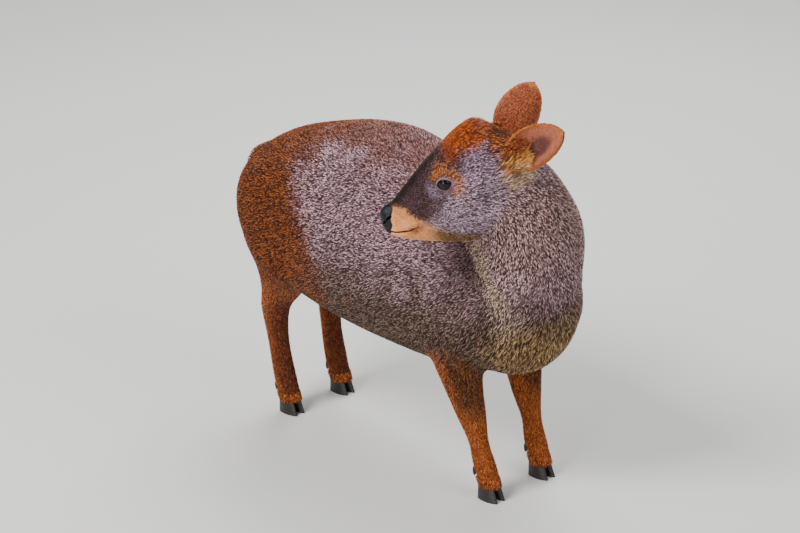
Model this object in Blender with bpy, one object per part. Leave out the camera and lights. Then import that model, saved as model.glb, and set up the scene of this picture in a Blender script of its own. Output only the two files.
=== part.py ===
"""A southern pudu doe, life size, standing and looking back over its right flank.

Metres, +Z up. The trunk lies along X with the chest at +X, and the doe's left side is at +Y.
The flesh is lofted from tables of stations, fused by a voxel remesh, thinned, and parted with thin cuts.
"""

import math
import random

import bmesh
import bpy
import numpy as np
from mathutils import Matrix, Vector
from mathutils.bvhtree import BVHTree

# Driving sizes
BACK_HEIGHT = 0.408
TRUNK_LENGTH = 0.532
TRUNK_WIDTH = 0.226
TRUNK_REAR = -0.290
HEAD_LENGTH = 0.180
EAR_LENGTH = 0.0722
EAR_THICKNESS = 0.0028
EYE_RADIUS = 0.0098
GAP = 0.0003

# Where the head is held: the nose tip, then how far the head is turned, pitched and rolled
NOSE_TIP = np.array([0.103, -0.172, 0.3790])
HEAD_YAW = math.radians(-134.2)
HEAD_PITCH = math.radians(25.4)
HEAD_ROLL = math.radians(9.0)

# Trunk stations: share of the length from the rump, then back line, belly line and half width as
# shares of the back height and of the trunk's width, and how much narrower the section is above
TRUNK = np.array([
    [0.00, 0.850, 0.560, 0.360, 0.02],
    [0.12, 0.898, 0.480, 0.430, 0.02],
    [0.22, 0.942, 0.425, 0.465, 0.03],
    [0.34, 0.985, 0.385, 0.490, 0.04],
    [0.46, 1.000, 0.368, 0.500, 0.05],
    [0.58, 0.962, 0.364, 0.495, 0.07],
    [0.72, 0.918, 0.366, 0.475, 0.10],
    [0.86, 0.895, 0.374, 0.440, 0.14],
    [1.00, 0.810, 0.410, 0.390, 0.10],
])
TRUNK_CAPS = (0.16, 0.26)
TRUNK_SQUARE = 2.15

# The brisket, an ellipsoid between the shoulders: centre and half sizes
BRISKET = np.array([[0.158, 0.000, 0.240], [0.076, 0.080, 0.086]])

# Neck stations: centre, half width across, half depth from nape to throat, and the way the nape faces
NECK = np.array([
    [0.120, 0.000, 0.240, 0.082, 0.100, -0.80, 0.00, 0.60],
    [0.162, -0.004, 0.282, 0.076, 0.092, -0.75, 0.20, 0.60],
    [0.192, -0.016, 0.325, 0.064, 0.073, -0.20, 0.65, 0.45],
    [0.204, -0.037, 0.372, 0.053, 0.059, 0.35, 0.80, 0.30],
    [0.200, -0.056, 0.406, 0.045, 0.051, 0.45, 0.70, 0.55],
    [0.187, -0.082, 0.422, 0.036, 0.042, 0.40, 0.60, 0.70],
])

# Head stations: share of the length back from the nose, then the top, the bottom and the half width
# as shares of the length, and how much wider the section is above its middle than below
HEAD = np.array([
    [0.000, 0.020, -0.110, 0.066, 0.00],
    [0.080, 0.062, -0.190, 0.080, 0.00],
    [0.150, 0.085, -0.238, 0.098, 0.02],
    [0.275, 0.154, -0.315, 0.126, 0.06],
    [0.410, 0.225, -0.385, 0.170, 0.12],
    [0.525, 0.269, -0.410, 0.212, 0.17],
    [0.630, 0.318, -0.375, 0.222, 0.14],
    [0.720, 0.345, -0.330, 0.222, 0.10],
    [0.800, 0.338, -0.286, 0.216, 0.08],
    [0.880, 0.275, -0.247, 0.200, 0.04],
    [1.000, 0.165, -0.190, 0.165, 0.00],
])
HEAD_CAPS = (0.075, 0.14)
HEAD_SQUARE = 2.2

# Leg stations from the top down: x, distance from the mid-plane, z, half length fore and aft, half width
FORELEG = np.array([
    [0.130, 0.056, 0.300, 0.050, 0.026],
    [0.138, 0.064, 0.262, 0.062, 0.036],
    [0.128, 0.064, 0.218, 0.050, 0.034],
    [0.118, 0.058, 0.178, 0.036, 0.029],
    [0.122, 0.053, 0.142, 0.0265, 0.0230],
    [0.133, 0.0490, 0.103, 0.0190, 0.0175],
    [0.144, 0.0470, 0.070, 0.0130, 0.0122],
    [0.153, 0.0455, 0.042, 0.0148, 0.0136],
    [0.161, 0.0450, 0.024, 0.0134, 0.0126],
    [0.165, 0.0450, 0.010, 0.0125, 0.0122],
])
HINDLEG = np.array([
    [-0.145, 0.040, 0.340, 0.060, 0.030],
    [-0.166, 0.056, 0.300, 0.076, 0.044],
    [-0.168, 0.064, 0.250, 0.070, 0.045],
    [-0.169, 0.064, 0.212, 0.047, 0.036],
    [-0.190, 0.056, 0.174, 0.031, 0.024],
    [-0.211, 0.049, 0.140, 0.0210, 0.0165],
    [-0.210, 0.046, 0.095, 0.0145, 0.0130],
    [-0.199, 0.045, 0.044, 0.0150, 0.0142],
    [-0.191, 0.045, 0.024, 0.0138, 0.0130],
    [-0.187, 0.045, 0.010, 0.0125, 0.0122],
])

# Tail stations: centre, half width and half depth
TAIL = np.array([
    [-0.258, 0.000, 0.332, 0.014, 0.012],
    [-0.290, 0.000, 0.318, 0.013, 0.009],
    [-0.306, 0.000, 0.297, 0.010, 0.007],
    [-0.312, 0.000, 0.272, 0.005, 0.004],
])

# Claws: length and width of the sole, height to the coronet, half the cleft between the two, how far
# the sole's middle stands ahead of the pastern, and how much shorter, narrower and further back the top is
CLAW_LENGTH = 0.031
CLAW_WIDTH = 0.0118
CLAW_HEIGHT = 0.0185
CLEFT = 0.0007
CLAW_AHEAD = 0.004
CLAW_SHORTER = 0.24
CLAW_NARROWER = 0.10
CLAW_LEAN = 0.004
CLAW_POINT = 0.42
# Dewclaws: behind the pastern's middle, beside it, above the floor, and half sizes
DEWCLAW = np.array([-0.0105, 0.0056, 0.0325])
DEWCLAW_HALF = [0.0040, 0.0033, 0.0062]

# Places on the head, in its own frame: back from the nose, out from the mid-plane, up
EYE_PLACE = np.array([0.0901, 0.0258, 0.0223])
EYE_FACING = [-0.28, 0.94, 0.16]
EYE_OPENING = (0.0082, 0.0064)
OPENING_DEPTH = 0.008
LID_RADIUS = 0.0016
EAR_PLACE = np.array([0.1645, 0.0265, 0.0126])
# Each ear's own direction and the way its cup opens, in the head's frame
EAR_POSES = {
    "left": ([0.958, 0.214, 0.189], [0.044, 0.687, 0.726]),
    "right": ([0.764, -0.467, 0.446], [-0.026, -0.935, -0.353]),
}
# Ear stations: share of the length, half width along the skin, radius of the cup
EAR = np.array([
    [0.00, 0.0235, 0.0140],
    [0.15, 0.0300, 0.0185],
    [0.35, 0.0338, 0.0240],
    [0.55, 0.0322, 0.0262],
    [0.75, 0.0286, 0.0268],
    [0.90, 0.0256, 0.0272],
    [1.00, 0.0217, 0.0270],
])
EAR_TIP_ROUND = 0.67
# The cup is set back by this share of its own depth, so that the ear's length runs through its middle
EAR_SET_BACK = 0.6
# Where each ear is parted from the head: how far out along the ear, and the plate's half size
EAR_PARTING = (0.0135, 0.027)

# The mouth line along the muzzle: share of the head's length, and height in the section from -1 to 1
MOUTH = np.array([
    [0.205, -0.16],
    [0.150, -0.25],
    [0.090, -0.30],
    [0.040, -0.36],
    [0.012, -0.42],
])
MOUTH_RADIUS = 0.0011
LIP_RADIUS = 0.0030
# How far above the mouth line each lip runs, in heights of the section
UPPER_LIP = 0.16
LOWER_LIP = -0.20
NOSE_PAD = ([0.0115, 0.0, -0.0035], [0.0118, 0.0128, 0.0150])
NOSTRIL = ([0.0035, 0.0092, -0.0010], [0.0042, 0.0016, 0.0024])
GLAND = ([0.0745, 0.0290, 0.0170], [0.0060, 0.0030, 0.0011])

# Softer forms of the head: centre and half sizes in its own frame, for the left side
HEAD_FORMS = [
    ([0.088, 0.0240, 0.0320], [0.0150, 0.0066, 0.0050]),
    ([0.112, 0.0300, -0.0040], [0.0300, 0.0115, 0.0110]),
    ([0.128, 0.0245, -0.0300], [0.0260, 0.0130, 0.0240]),
    ([0.146, 0.0200, -0.0400], [0.0300, 0.0230, 0.0300]),
]

# The crest between the ears: rows of locks, and each lock's length, width and thickness
CREST_ROWS = [(0.128, 3), (0.138, 4), (0.148, 5), (0.158, 4)]
CREST_SPREAD = 0.0085
LOCK_LENGTH = 0.021
LOCK_WIDTH = 0.0120
LOCK_THICKNESS = 0.0036
# A lock's rise in its middle, how deep its root is sunk, its tip's drop, and how much thinner the tip is
LOCK_RISE = 0.0028
LOCK_SUNK = 0.0030
LOCK_DROOP = 0.0012
LOCK_THINNER = 0.78
LOCK_BEND = 0.002

# Where the flesh is parted: centre, normal, way across, and half sizes of the thin plate
NECK_PARTING = ([0.1902, -0.0125, 0.3248], [0.614, 0.0, 0.789], [0.0, 1.0, 0.0], (0.083, 0.083))
HEAD_PARTING = ([0.1976, -0.0467, 0.3851], [0.391, 0.480, -0.785], [0.0, 0.0, 1.0], (0.073, 0.066))
TAIL_PARTING = ([-0.3060, 0.0, 0.2975], [-0.40, 0.0, -0.92], [0.0, 1.0, 0.0], (0.016, 0.0120))
FORELEG_CUT = (0.124, 0.053, 0.143, 0.037)
HINDLEG_CUT = (-0.200, 0.053, 0.158, 0.041)

BODY_VOXEL = 0.0042
HEAD_VOXEL = 0.0021
BODY_TRIANGLES = 4200
HEAD_TRIANGLES = 2700
BODY_ROUNDS = 10
HEAD_ROUNDS = 4
HEAD_WEIGHT = 0.8

# Colour and roughness of each kind of surface
COLOURS = {
    "coat": ((0.175, 0.098, 0.058), 0.85),
    "ear": ((0.260, 0.105, 0.045), 0.85),
    "eye": ((0.012, 0.008, 0.007), 0.08),
    "hoof": ((0.030, 0.024, 0.020), 0.45),
}


def unit(v):
    """Vectors scaled to length one, along the last axis."""
    v = np.asarray(v, float)
    return v / np.linalg.norm(v, axis=-1, keepdims=True)


def eased(rows, count):
    """Rows of numbers read at count even steps from a Catmull-Rom curve that passes through each row."""
    rows = np.asarray(rows, float)
    padded = np.vstack([2 * rows[0] - rows[1], rows, 2 * rows[-1] - rows[-2]])
    t = np.linspace(0, len(rows) - 1 - 1e-9, count)
    i = t.astype(int)
    f = (t - i)[:, None]
    a, b, c, d = padded[i], padded[i + 1], padded[i + 2], padded[i + 3]
    square = 2 * a - 5 * b + 4 * c - d
    cube = 3 * b - a - 3 * c + d
    return 0.5 * (2 * b + (c - a) * f + square * f**2 + cube * f**3)


def between(table, shares):
    """Columns of a table read at shares of its first column, by the same curve through the rows."""
    fine = eased(table, 400)
    return np.stack([np.interp(shares, fine[:, 0], fine[:, k]) for k in range(1, table.shape[1])], axis=1)


def cap_factor(shares, front, rear):
    """Elliptic rounding: 1 in the middle, falling to 0 over the front and rear shares of the length."""
    low = np.clip(shares / front, 0, 1)
    high = np.clip((1 - shares) / rear, 0, 1)
    return np.sqrt(1 - (1 - low) ** 2) * np.sqrt(1 - (1 - high) ** 2)


def rings_to_shell(rings):
    """Points and faces of a closed shell from rings (stations, sides, 3), with a fan at each end."""
    stations, sides = rings.shape[:2]
    points = np.vstack([rings.reshape(-1, 3), rings[0].mean(0), rings[-1].mean(0)])
    i, j = np.meshgrid(np.arange(stations - 1), np.arange(sides), indexing="ij")
    k = (j + 1) % sides
    quads = np.stack([i * sides + j, i * sides + k, (i + 1) * sides + k, (i + 1) * sides + j], -1)
    start, end = stations * sides, stations * sides + 1
    j = np.arange(sides)
    k = (j + 1) % sides
    last = (stations - 1) * sides
    first_fan = np.stack([np.full(sides, start), k, j], -1)
    last_fan = np.stack([np.full(sides, end), last + j, last + k], -1)
    return points, quads.reshape(-1, 4).tolist() + first_fan.tolist() + last_fan.tolist()


def section(sides, square=2.0):
    """Cosines and sines of a superellipse's points, 2 for an ellipse and more for a squarer one."""
    angle = np.arange(sides) * 2 * math.pi / sides
    c, s = np.cos(angle), np.sin(angle)
    power = 2 / square
    return np.sign(c) * np.abs(c) ** power, np.sign(s) * np.abs(s) ** power


def trunk_shell(sides=56, stations=72):
    """The trunk: superellipse sections along X between the back line and the belly line."""
    shares = (1 - np.cos(np.linspace(0, math.pi, stations))) / 2
    shares = np.clip(shares, 0.0006, 0.9994)
    back, belly, width, narrower = between(TRUNK, shares).T
    round_off = cap_factor(shares, *TRUNK_CAPS)
    middle = BACK_HEIGHT * (back + belly) / 2
    half_height = BACK_HEIGHT * (back - belly) / 2 * round_off
    half_width = TRUNK_WIDTH * width * round_off
    c, s = section(sides, TRUNK_SQUARE)
    x = np.repeat((TRUNK_REAR + shares * TRUNK_LENGTH)[:, None], sides, 1)
    y = half_width[:, None] * c[None] * (1 - narrower[:, None] * s[None])
    z = middle[:, None] + half_height[:, None] * s[None]
    return rings_to_shell(np.stack([x, y, z], -1))


def neck_shell(sides=48, stations=40, first=0):
    """The neck: ellipses square to its bent centre line, turning as the head turns."""
    rows = eased(NECK, stations)[first:]
    centre, nape = rows[:, :3], rows[:, 5:8]
    along = unit(np.gradient(centre, axis=0))
    across = unit(np.cross(nape, along))
    up = np.cross(along, across)
    c, s = section(sides)
    rings = (centre[:, None] + across[:, None] * (rows[:, 3, None] * c)[..., None]
             + up[:, None] * (rows[:, 4, None] * s)[..., None])
    return rings_to_shell(rings)


def head_frame():
    """Rotation whose columns point back from the nose, to the doe's left, and up from the head."""
    turn = Matrix.Rotation(HEAD_YAW, 3, "Z") @ Matrix.Rotation(HEAD_PITCH, 3, "Y")
    turn = turn @ Matrix.Rotation(-HEAD_ROLL, 3, "X")
    forward, left, up = (np.array(turn.col[k]) for k in range(3))
    return np.stack([-forward, left, up], axis=1)


def on_head(local):
    """Points given back from the nose, left and up, in the model's frame."""
    return NOSE_TIP + np.asarray(local, float) @ head_frame().T


def head_shell(sides=64, stations=80):
    """The skull with its flesh: egg-shaped sections from the nose to the back of the head."""
    shares = (1 - np.cos(np.linspace(0, math.pi, stations))) / 2
    shares = np.clip(shares, 0.0006, 0.9994)
    top, bottom, width, wider = between(HEAD, shares).T
    round_off = cap_factor(shares, *HEAD_CAPS)
    middle = HEAD_LENGTH * (top + bottom) / 2
    half_height = HEAD_LENGTH * (top - bottom) / 2 * round_off
    c, s = section(sides, HEAD_SQUARE)
    lean = 1 + wider[:, None] * s[None]
    local = np.stack([
        np.repeat((shares * HEAD_LENGTH)[:, None], sides, 1),
        HEAD_LENGTH * (width * round_off)[:, None] * c[None] * lean,
        middle[:, None] + half_height[:, None] * s[None],
    ], -1)
    return rings_to_shell(on_head(local)[:, ::-1])


def leg_shell(table, side, sides=28, stations=48):
    """One leg: level ellipses from its top station down to the pastern."""
    x, out, z, fore, wide = eased(table, stations).T
    c, s = section(sides)
    rings = np.stack([
        x[:, None] + fore[:, None] * c,
        side * out[:, None] + wide[:, None] * s,
        np.repeat(z[:, None], sides, 1),
    ], -1)
    return rings_to_shell(rings[:, ::-1])


def tail_shell(sides=16, stations=16):
    """The short tail that hangs over the rump."""
    x, y, z, wide, deep = eased(TAIL, stations).T
    centre = np.stack([x, y, z], -1)
    along = unit(np.gradient(centre, axis=0))
    across = np.tile([0.0, 1.0, 0.0], (stations, 1))
    up = np.cross(along, across)
    c, s = section(sides)
    rings = (centre[:, None] + across[:, None] * (wide[:, None] * c)[..., None]
             + up[:, None] * (deep[:, None] * s)[..., None])
    return rings_to_shell(rings)


def new_object(name, points, faces):
    """A mesh object from points and faces, with its faces turned outwards."""
    mesh = bpy.data.meshes.new(name)
    mesh.from_pydata(np.asarray(points).tolist(), [], faces)
    work = bmesh.new()
    work.from_mesh(mesh)
    bmesh.ops.recalc_face_normals(work, faces=work.faces)
    work.to_mesh(mesh)
    work.free()
    obj = bpy.data.objects.new(name, mesh)
    bpy.context.scene.collection.objects.link(obj)
    return obj


def joined(name, shells):
    """Several shells as one object, still crossing each other."""
    points, faces, start = [], [], 0
    for shell_points, shell_faces in shells:
        points.append(shell_points)
        faces += [[start + i for i in face] for face in shell_faces]
        start += len(shell_points)
    return new_object(name, np.vstack(points), faces)


def settle(obj):
    """Applies an object's modifiers to its mesh."""
    graph = bpy.context.evaluated_depsgraph_get()
    mesh = bpy.data.meshes.new_from_object(obj.evaluated_get(graph))
    obj.modifiers.clear()
    old = obj.data
    obj.data = mesh
    bpy.data.meshes.remove(old)
    return obj


def fused(obj, voxel):
    """Fuses the crossing shells of an object into one skin of even quads."""
    remesh = obj.modifiers.new("fuse", "REMESH")
    remesh.mode = "VOXEL"
    remesh.voxel_size = voxel
    return settle(obj)


def points_of(obj):
    """An object's points as an array."""
    flat = np.empty(len(obj.data.vertices) * 3)
    obj.data.vertices.foreach_get("co", flat)
    return flat.reshape(-1, 3)


def smoothed(obj, weight, rounds):
    """Moves each point towards the mean of its neighbours, as far as its weight says."""
    points = points_of(obj)
    pairs = np.empty(len(obj.data.edges) * 2, int)
    obj.data.edges.foreach_get("vertices", pairs)
    a, b = pairs.reshape(-1, 2).T
    count = np.bincount(np.concatenate([a, b]), minlength=len(points))[:, None]
    share = 0.6 * weight(points)[:, None]
    for _ in range(rounds):
        total = np.zeros_like(points)
        for k in range(3):
            total[:, k] = (np.bincount(a, points[b, k], len(points))
                           + np.bincount(b, points[a, k], len(points)))
        points += share * (total / count - points)
    obj.data.vertices.foreach_set("co", points.ravel())
    obj.data.update()
    return obj


def thinned(obj, triangles):
    """Collapses edges until about this many triangles are left, most where the form bends least."""
    bpy.context.view_layer.update()
    obj.data.calc_loop_triangles()
    decimate = obj.modifiers.new("thin", "DECIMATE")
    decimate.ratio = triangles / len(obj.data.loop_triangles)
    decimate.use_collapse_triangulate = True
    return settle(obj)


def blend_weight(points):
    """How much the joins of the flesh are smoothed: in full on the trunk, less down the legs."""
    return np.clip((points[:, 2] - 0.10) / 0.10, 0.06, 1.0)


def ellipsoid_shell(centre, half, sides=32, stations=20):
    """A closed ellipsoid of level rings."""
    tilt = np.linspace(-0.497, 0.497, stations) * math.pi
    c, s = section(sides)
    rings = np.stack([
        centre[0] + half[0] * np.cos(tilt)[:, None] * c,
        centre[1] + half[1] * np.cos(tilt)[:, None] * s,
        np.repeat((centre[2] + half[2] * np.sin(tilt))[:, None], sides, 1),
    ], -1)
    return rings_to_shell(rings)


def ear_frame(side):
    """An ear's root and its three directions: to its tip, the way it opens, and across."""
    mirror = 1 if side == "left" else -1
    root = on_head(EAR_PLACE * [1, mirror, 1])
    tip, opening = (unit(np.array(v) @ head_frame().T) for v in EAR_POSES[side])
    opening = unit(opening - tip * (opening @ tip))
    return root, tip, opening, np.cross(tip, opening)


def ear_shell(side, along=12, across=10):
    """An ear: a cupped leaf, two skins a thickness apart that join round the rim."""
    root, tip, opening, wide = ear_frame(side)
    share = np.linspace(0, 1, along)
    half, radius = between(EAR, share).T
    half = half * np.sqrt(1 - np.clip((share - 1 + EAR_TIP_ROUND) / EAR_TIP_ROUND, 0, 0.998) ** 2)
    sweep = half / radius
    v = np.linspace(-1, 1, across)
    angle = sweep[:, None] * v
    floor = radius * (1 - np.cos(np.minimum(sweep, 1.4))) * EAR_SET_BACK

    def skin(inset):
        r = (radius - inset)[:, None]
        depth = radius[:, None] - r * np.cos(angle) - floor[:, None]
        return (root + tip * (EAR_LENGTH * share)[:, None, None]
                + wide * (r * np.sin(angle))[..., None] + opening * depth[..., None])

    thin = EAR_THICKNESS * (1.25 - 0.5 * share)
    outer, inner = skin(0 * share), skin(thin)
    loops = np.concatenate([outer, inner[:, ::-1]], axis=1)
    points, faces = rings_to_shell(loops)
    walls = faces[:(along - 1) * 2 * across]
    last = (along - 1) * 2 * across
    for j in range(across - 1):
        k = 2 * across - 1 - j
        walls.append([j, k, k - 1, j + 1])
        walls.append([last + j, last + j + 1, last + k - 1, last + k])
    return points[:-2], walls


def claw_shell(x, y, side, sides=16):
    """One claw of a hoof: pointed sections from the flat sole up to the coronet, flat on its inner side."""
    levels = np.array([0.0, 0.2, 0.6, 1.0])
    length = CLAW_LENGTH * (1.0 - CLAW_SHORTER * levels)
    width = CLAW_WIDTH * (1.0 - CLAW_NARROWER * levels)
    back = -CLAW_LEAN * levels
    angle = np.arange(sides) * 2 * math.pi / sides
    c, s = np.cos(angle), np.sin(angle)
    taper = 1 - CLAW_POINT * np.clip(c, 0, 1) ** 2
    rings = np.stack([
        x + CLAW_AHEAD + back[:, None] + length[:, None] / 2 * np.sign(c) * np.abs(c) ** 0.8,
        y + side * (CLEFT + width[:, None] / 2 * (1 + np.sign(s) * np.abs(s) ** 0.7 * taper)),
        np.repeat((levels * CLAW_HEIGHT)[:, None], sides, 1),
    ], -1)
    return rings_to_shell(rings)


def plate(centre, normal, across, half):
    """A thin elliptic cutter: its centre, its normal, the way its first half size runs, and both."""
    work = bmesh.new()
    bmesh.ops.create_cone(work, cap_ends=True, segments=36, radius1=1, radius2=1, depth=1)
    mesh = bpy.data.meshes.new("plate")
    work.to_mesh(mesh)
    work.free()
    obj = bpy.data.objects.new("plate", mesh)
    normal = unit(normal)
    across = unit(np.array(across) - normal * (np.array(across) @ normal))
    turn = Matrix(np.stack([across, np.cross(normal, across), normal], 1).tolist()).to_4x4()
    size = Matrix.Diagonal((half[0], half[1], GAP, 1.0))
    mesh.transform(Matrix.Translation(Vector(centre)) @ turn @ size)
    return obj


def boolean(obj, operation, others, solver="EXACT"):
    """Joins to an object, or cuts from it, a list of closed objects, and removes them."""
    group = bpy.data.collections.new("pieces")
    for other in others:
        for holder in list(other.users_collection):
            holder.objects.unlink(other)
        group.objects.link(other)
    step = obj.modifiers.new("boolean", "BOOLEAN")
    step.operation = operation
    step.operand_type = "COLLECTION"
    step.collection = group
    step.solver = solver
    settle(obj)
    for other in list(group.objects):
        bpy.data.objects.remove(other)
    bpy.data.collections.remove(group)
    return obj


def surfaces(obj):
    """An object's closed surfaces as (points, faces) pairs."""
    work = bmesh.new()
    work.from_mesh(obj.data)
    work.verts.ensure_lookup_table()
    seen, found = set(), []
    for start in work.verts:
        if start.index in seen:
            continue
        seen.add(start.index)
        stack, members = [start], []
        while stack:
            vert = stack.pop()
            members.append(vert)
            for edge in vert.link_edges:
                other = edge.other_vert(vert)
                if other.index not in seen:
                    seen.add(other.index)
                    stack.append(other)
        number = {vert.index: k for k, vert in enumerate(members)}
        faces = {face for vert in members for face in vert.link_faces}
        points = np.array([vert.co for vert in members])
        ordered = sorted(faces, key=lambda face: face.index)
        found.append((points, [[number[v.index] for v in face.verts] for face in ordered]))
    work.free()
    return found


def parted(obj, places):
    """Splits an object into its closed surfaces and names each by the nearest of the given places."""
    found = surfaces(obj)
    bpy.data.objects.remove(obj)
    centres = np.array([(points.min(0) + points.max(0)) / 2 for points, _ in found])
    named = {}
    for name, place in places.items():
        nearest = int(np.linalg.norm(centres - place, axis=1).argmin())
        named[name] = new_object(name, *found[nearest])
    return named


def head_surface(shares, level):
    """Points on the left of the head at shares of its length and heights in the section from -1 to 1."""
    top, bottom, width, wider = between(HEAD, shares).T
    round_off = cap_factor(shares, *HEAD_CAPS)
    across = (1 - np.abs(level) ** HEAD_SQUARE) ** (1 / HEAD_SQUARE)
    return np.stack([
        shares * HEAD_LENGTH,
        HEAD_LENGTH * width * round_off * across * (1 + wider * level),
        HEAD_LENGTH * ((top + bottom) / 2 + (top - bottom) / 2 * round_off * level),
    ], -1)


def round_the_muzzle(shift=0.0, count=11):
    """The mouth line from the left corner round the front to the right corner, raised by a shift."""
    shares, level = eased(MOUTH, count).T
    left = head_surface(shares, level + shift)
    return on_head(np.vstack([left, left[::-1] * [1, -1, 1]]))


def tube_shell(path, radius, sides=8, ring=False):
    """A tube of round sections along a path, tapered to its ends, or closed in a ring."""
    path = np.asarray(path)
    if ring:
        along = unit(np.roll(path, -1, 0) - np.roll(path, 1, 0))
        size = np.full(len(path), radius)
    else:
        along = unit(np.gradient(path, axis=0))
        size = radius * np.clip(np.sin(np.linspace(0, math.pi, len(path))) * 3, 0.25, 1)
    middle = path.mean(0)
    across = unit(np.cross(along, path - middle))
    up = np.cross(across, along)
    c, s = section(sides)
    rings = (path[:, None] + across[:, None] * (size[:, None] * c)[..., None]
             + up[:, None] * (size[:, None] * s)[..., None])
    if not ring:
        return rings_to_shell(rings)
    count = len(path)
    i, j = np.meshgrid(np.arange(count), np.arange(sides), indexing="ij")
    n, k = (i + 1) % count, (j + 1) % sides
    quads = np.stack([i * sides + j, i * sides + k, n * sides + k, n * sides + j], -1)
    return rings.reshape(-1, 3), quads.reshape(-1, 4).tolist()


def head_ellipsoid(centre, half, mirror, sides=16, stations=10):
    """An ellipsoid along the head's own axes, on its left or, mirrored, on its right."""
    points, faces = ellipsoid_shell([0, 0, 0], half, sides, stations)
    return on_head((points + centre) * [1, mirror, 1]), faces


def eye_directions():
    """The way the eye faces, then the ways to its hind corner and to its top, in the head's frame."""
    out = unit(EYE_FACING)
    back = np.array([1.0, 0.0, -0.10])
    back = unit(back - out * (out @ back))
    return out, back, np.cross(back, out)


def opening_shell(mirror):
    """The space between the lids, an ellipsoid that reaches out from the eyeball."""
    out, back, up = eye_directions()
    half = [EYE_OPENING[0] - LID_RADIUS, OPENING_DEPTH, EYE_OPENING[1] - LID_RADIUS]
    points, faces = ellipsoid_shell([0, 0, 0], half, 12, 8)
    points = EYE_PLACE + out * EYE_RADIUS + points @ np.stack([back, out, up])
    return on_head(points * [1, mirror, 1]), faces


def lid_shell(mirror, count=20):
    """The rim of the lids: a tube along an almond that lies on the eyeball."""
    angle = np.arange(count) * 2 * math.pi / count
    out, back, up = eye_directions()
    x = EYE_OPENING[0] * np.cos(angle)
    y = EYE_OPENING[1] * np.sin(angle) * (1 - 0.25 * np.cos(angle) ** 2)
    reach = EYE_RADIUS + GAP + 0.8 * LID_RADIUS
    z = np.sqrt(reach**2 - x**2 - y**2)
    path = EYE_PLACE + x[:, None] * back + y[:, None] * up + z[:, None] * out
    return tube_shell(on_head(path * [1, mirror, 1]), LID_RADIUS, 6, ring=True)


def lock_shell(root, lie, outward, length, bend):
    """A flat tapered lock: four-sided sections from a sunk root, along the lie, lifting in the middle."""
    t = np.linspace(0, 1, 6)
    across = unit(np.cross(lie, outward))
    rise = LOCK_RISE * np.sin(t * math.pi * 0.75) - LOCK_SUNK * (1 - t) ** 2 - LOCK_DROOP * t
    path = root + lie * (length * (t - 0.12))[:, None] + outward * rise[:, None]
    path += across * (bend * t**2)[:, None]
    width = LOCK_WIDTH / 2 * np.sqrt(np.clip(1 - t**2.2, 0.012, 1)) * (0.75 + 0.25 * np.sin(math.pi * t))
    thick = LOCK_THICKNESS / 2 * (1 - LOCK_THINNER * t)
    c, s = section(4)
    rings = (path[:, None] + across * (width[:, None] * c)[..., None]
             + outward * (thick[:, None] * s)[..., None])
    return rings_to_shell(rings)


def crest_locks(head):
    """The crest: rows of locks rooted on the crown, laid back and overlapping like tiles."""
    tree = BVHTree.FromPolygons([v.co for v in head.data.vertices], [p.vertices for p in head.data.polygons])
    draw = random.Random(7)
    up = Vector(on_head([0, 0, 1]) - on_head([0, 0, 0]))
    back = on_head([1, 0, 0]) - on_head([0, 0, 0])
    locks = []
    for place, count in CREST_ROWS:
        for k in range(count):
            side = (k - (count - 1) / 2) * CREST_SPREAD
            above = Vector(on_head([place + draw.uniform(-LOCK_BEND, LOCK_BEND), side, 0.12]))
            spot, normal = tree.ray_cast(above, -up)[:2]
            out = unit(np.array(normal))
            fan = unit(back + on_head([0, side * 18, 0]) - on_head([0, 0, 0]))
            lie = unit(fan - out * (fan @ out) + out * 0.10)
            length = LOCK_LENGTH * draw.uniform(0.85, 1.15)
            bend = draw.uniform(-LOCK_BEND, LOCK_BEND)
            locks.append(new_object("lock", *lock_shell(np.array(spot), lie, out, length, bend)))
    return locks


def body_flesh():
    """Trunk, neck, legs, tail and the head's rough form as one smooth skin, cut off level at the coronets."""
    shells = [trunk_shell(), ellipsoid_shell(*BRISKET), neck_shell(), head_shell(), tail_shell()]
    for side in (1, -1):
        shells += [leg_shell(FORELEG, side), leg_shell(HINDLEG, side)]
    body = fused(joined("body", shells), BODY_VOXEL)
    smoothed(body, blend_weight, BODY_ROUNDS)
    thinned(body, BODY_TRIANGLES)
    dewclaws = []
    for side in (1, -1):
        for leg in (FORELEG, HINDLEG):
            x, out = leg[-3][:2]
            for beside in (1, -1):
                place = [x + DEWCLAW[0], side * out + beside * DEWCLAW[1], DEWCLAW[2]]
                dewclaws.append(new_object("dewclaw", *ellipsoid_shell(place, DEWCLAW_HALF, 10, 7)))
    return boolean(body, "UNION", dewclaws)


def leg_cut(cut, side):
    """The plate that parts a leg from the torso."""
    x, out, z, radius = cut
    return plate([x, side * out, z], [0, 0, 1], [1, 0, 0], (radius, radius))


def level_floor():
    """A block that takes away all flesh below the coronets."""
    work = bmesh.new()
    bmesh.ops.create_cube(work, size=1)
    mesh = bpy.data.meshes.new("below")
    work.to_mesh(mesh)
    work.free()
    top = CLAW_HEIGHT + GAP
    mesh.transform(Matrix.Translation((0, 0, top - 0.05)) @ Matrix.Diagonal((1.0, 0.5, 0.1, 1.0)))
    return bpy.data.objects.new("below", mesh)


def body_nodes():
    """Torso, neck, tail and legs, parted by thin plates."""
    cuts = [plate(*NECK_PARTING), plate(*TAIL_PARTING), plate(*HEAD_PARTING), level_floor()]
    places = {"torso": [-0.03, 0.0, 0.27], "neck": [0.185, -0.02, 0.35], "tail": [-0.31, 0, 0.284]}
    for name, side in (("left", 1), ("right", -1)):
        cuts += [leg_cut(FORELEG_CUT, side), leg_cut(HINDLEG_CUT, side)]
        places["leg_front_" + name] = [0.140, side * 0.050, 0.08]
        places["leg_hind_" + name] = [-0.205, side * 0.050, 0.09]
    return parted(boolean(body_flesh(), "DIFFERENCE", cuts), places)


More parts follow.
